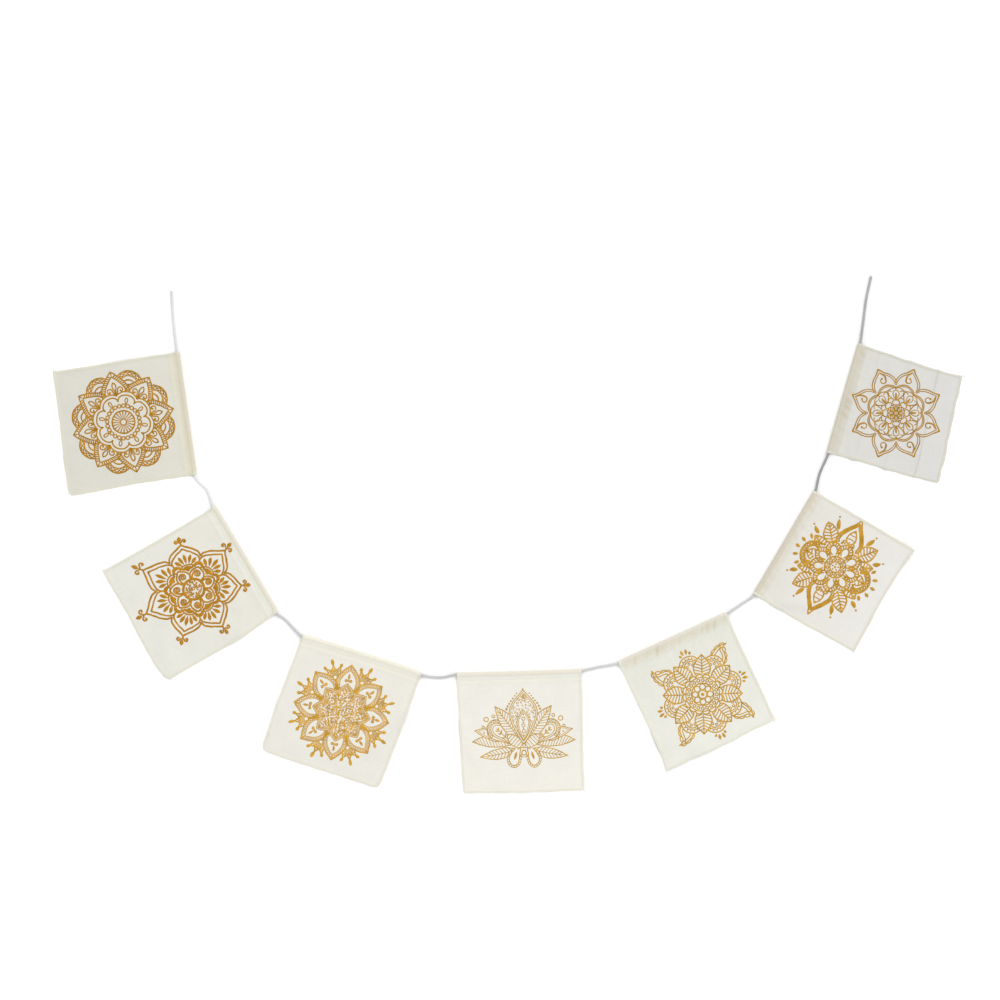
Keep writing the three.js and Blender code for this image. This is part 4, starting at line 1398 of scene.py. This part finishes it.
def gold_finish():
    """Gold printing ink, a little metallic, with a fine grain where the weave shows through."""
    finish = Finish("gold ink", Metallic=0.3, Specular_IOR_Level=0.15)
    place = finish.node("TexCoord", output=3)
    tone = finish.node("VertexColor", {"layer_name": "tone"})
    grain = finish.noise(place, 1500, 2)
    shade = (grain - 0.5) * 0.5 + 1.0
    return finish.feed(Base_Color=finish.shaded(tone, shade), Roughness=0.42 + grain * 0.2,
                       Normal=finish.bump(grain, 0.00004, 0.4))


def make_print(flag):
    """The ink of a flag's motif. Each stroke is a low closed ribbon that follows its curve on
    the cloth, with a flat top, bevelled sides, drawn-in ends and a slightly unsteady line."""
    centre, draw, colour, bleed = PRINTS[flag.number]
    motif = Motif()
    draw(motif)
    sections, rises, faces, first = [], [], [], 0
    layers = np.linspace(0, INK_LAYERS, len(motif.strokes))
    for (points, widths), layer in zip(motif.strokes, layers):
        ahead = np.gradient(points)
        ahead /= np.maximum(abs(ahead), 1e-9)
        half = np.maximum(widths / 2 + bleed, INK_FINEST)
        ends = np.minimum(half[[0, -1]], END_REACH)
        points = np.concatenate([points[:1] - ahead[:1] * ends[0], points,
                                 points[-1:] + ahead[-1:] * ends[1]])
        ahead = np.concatenate([ahead[:1], ahead, ahead[-1:]])
        half = np.concatenate([half[:1] * END_WIDTH, half, half[-1:] * END_WIDTH])
        flat = np.maximum(half - INK_BEVEL, half * FLAT_LEAST)
        across = np.stack([-half, -flat, flat, half], axis=1)
        sections.append((points[:, None] + 1j * ahead[:, None] * across).ravel())
        top = INK_RISE + layer
        rises.append(np.tile([-INK_SUNK, top, top, -INK_SUNK], len(points)))
        faces += tube_faces(len(points), 4, first)
        first += 4 * len(points)
    drawn = np.concatenate(sections)
    drawn = drawn + WOBBLE * (waves(drawn, WOBBLE_LENGTH, flag.number)
                              + 1j * waves(drawn, WOBBLE_LENGTH, flag.number + 20))
    places = centre + drawn * MM
    heights = flag.top(places) + np.concatenate(rises)
    light = 1 + sum(share * waves(drawn, length, flag.number + seed)
                    for seed, (share, length) in zip((40, 60), PATCHES))
    tone = np.array(linear(*colour)) / LIGHT_LEVEL * light[:, None]
    ink = make_piece(f"flag_{flag.number}_print", spatial(places, heights), faces, gold, None, tone)
    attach(ink, "root")
    return ink


# Stitches, and threads that stick out of the hems

STITCH = 0.0026
STITCH_STEP = 0.0032
STITCH_FIRST = 0.0005  # from the line's start
STITCH_THREAD = 0.00017
STITCH_PARTS = np.array([0, 0.12, 0.5, 0.88, 1])  # of its length
STITCH_BOW = np.array([-0.16, 0.05, 0.11, 0.05, -0.16])  # millimetres above the cloth there
SEAM_MARGIN = 0.01  # of the casing's length, free of stitches at each end
LINE_POINTS = 400
HEM_LINE = 0.0022  # from the cloth's edge
# Flag, part of the way along and out, and the number of loose threads there
LOOSE = [(1, 0, 1, 4), (2, 0, 1, 3), (2, 1, 1, 3), (3, 0, 0.1, 2), (4, 1, 1, 4), (5, 1, 1, 5),
         (5, 0, 1, 2), (6, 0, 1, 2), (7, 1, 1, 5), (7, 0, 1, 3)]
# Flags whose outer edge frays, and the number of short threads along it
FRAYED = {5: 16, 7: 46}
CORNER_THREADS = (2.5, 8)  # shortest and longest in millimetres
EDGE_THREADS = (0.6, 2.2)
THREAD_RADII = (0.00011, 0.00005)
THREAD_POINTS = 7
THREAD_ROOT = 0.0008  # inside the cloth's edge
THREAD_INSET = 0.0004
THREAD_HIGH = 0.00035
THREAD_FALL = 0.0002


def make_stitches(flag):
    """Lines of running stitches along the casing and the hems. Each stitch is a short thread
    that dips into the cloth at both ends."""
    part = np.linspace(0, 1, LINE_POINTS)
    inset = HEM_LINE / flag.width
    down = FLAP_END / flag.depth
    far = 1 - HEM_LINE / flag.depth
    out = down + (far - down) * part
    same = np.ones(LINE_POINTS)
    lines = [(flag.place(SEAM_MARGIN + (1 - 2 * SEAM_MARGIN) * part, same * STITCH_LINE / flag.depth), 0),
             (flag.place(same * inset, out), HEM_RISE),
             (flag.place(same * (1 - inset), out), HEM_RISE),
             (flag.place(inset + (1 - 2 * inset) * part, same * far), HEM_RISE)]
    paths = []
    for line, rise in lines:
        lengths = np.concatenate([[0], np.cumsum(abs(np.diff(line)))])
        starts = np.arange(STITCH_FIRST, lengths[-1] - STITCH, STITCH_STEP)
        at = starts[:, None] + STITCH * STITCH_PARTS
        places = np.interp(at, lengths, line.real) + 1j * np.interp(at, lengths, line.imag)
        paths.append(spatial(places, flag.top(places) + rise + STITCH_BOW * MM))
    points, faces = threads(np.concatenate(paths), STITCH_THREAD)
    stitches = make_piece(f"flag_{flag.number}_stitches", points, faces, thread_white)
    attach(stitches, "root")
    return stitches


def make_loose_threads(flag):
    """Thin threads that leave the hems and lie on the surface, each a path that bends evenly."""
    draw = np.random.default_rng(flag.number + 300)
    starts = [(along, out) for number, along, out, count in LOOSE if number == flag.number
              for _ in range(count)]
    starts += [(along, 1) for along in draw.uniform(0.03, 0.97, FRAYED.get(flag.number, 0))]
    if not starts:
        return None
    along, out = np.array(starts, float).T
    corner = (along == 0) | (along == 1)
    edge = flag.place(along, np.minimum(out, 1 - THREAD_INSET / flag.depth))
    outwards = edge - flag.middle
    straight = -1j * (flag.end - flag.start) / flag.width
    outwards = np.where(corner, outwards / abs(outwards), straight)
    heading = np.angle(outwards) + draw.normal(0, 0.55, len(along))
    length = np.where(corner, draw.uniform(*CORNER_THREADS, len(along)),
                      draw.uniform(*EDGE_THREADS, len(along))) * MM
    bend = draw.normal(0, 1.3, len(along))
    part = np.linspace(0, 1, THREAD_POINTS)
    start = edge - outwards * THREAD_ROOT
    places = bent(start, heading, bend, length, part)
    heights = THREAD_HIGH - THREAD_FALL * part + flag.relief(start)[:, None] * (1 - part)
    points, faces = threads(spatial(places, heights), np.linspace(*THREAD_RADII, THREAD_POINTS), 4)
    loose = make_piece(f"flag_{flag.number}_threads", points, faces, thread_white)
    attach(loose, "root")
    return loose


gold = gold_finish()
thread_finish = Finish("cotton thread", Roughness=0.85, Specular_IOR_Level=0.3)
thread_white = thread_finish.feed(Base_Color=(*linear(226, 221, 206), 1))

flags = {number: Flag(number) for number in FLAGS}
for flag in flags.values():
    cloth = flag.make()
    extras = [make_print(flag), make_stitches(flag), make_loose_threads(flag)]

# The floor and the light

FLOOR_SIZE = 80.0  # so wide that its corners are out of sight from every side
WORLD_LIGHT = 0.89
KEY_LIGHT = 0.86
KEY_SOFTNESS = 28  # degrees, as are its tilts forwards and sideways
KEY_TILT = (-26, 24)


def make_floor():
    """A wide white board under everything."""
    finish = Finish("white board", Roughness=0.9, Specular_IOR_Level=0.1)
    place = finish.node("TexCoord", output=3)
    grain = finish.noise(place, 60, 2)
    colour = finish.mix(grain, (0.945, 0.945, 0.945, 1), (0.955, 0.955, 0.955, 1))
    half = FLOOR_SIZE / 2
    corners = np.array([(-half, -half, 0), (half, -half, 0), (half, half, 0), (-half, half, 0)])
    floor = make_piece("floor", corners, [np.array([[0, 1, 2, 3]])], finish.feed(Base_Color=colour))


make_floor()

world = bpy.data.worlds.new("studio")
world.use_nodes = True
world.node_tree.nodes["Background"].inputs["Color"].default_value = (1, 1, 1, 1)
world.node_tree.nodes["Background"].inputs["Strength"].default_value = WORLD_LIGHT
bpy.context.scene.world = world

key = bpy.data.objects.new("key light", bpy.data.lights.new("key light", "SUN"))
key.data.energy = KEY_LIGHT
key.data.angle = np.radians(KEY_SOFTNESS)
key.rotation_euler = (*np.radians(KEY_TILT), 0)
bpy.context.scene.collection.objects.link(key)

bpy.context.scene.view_settings.view_transform = "Standard"
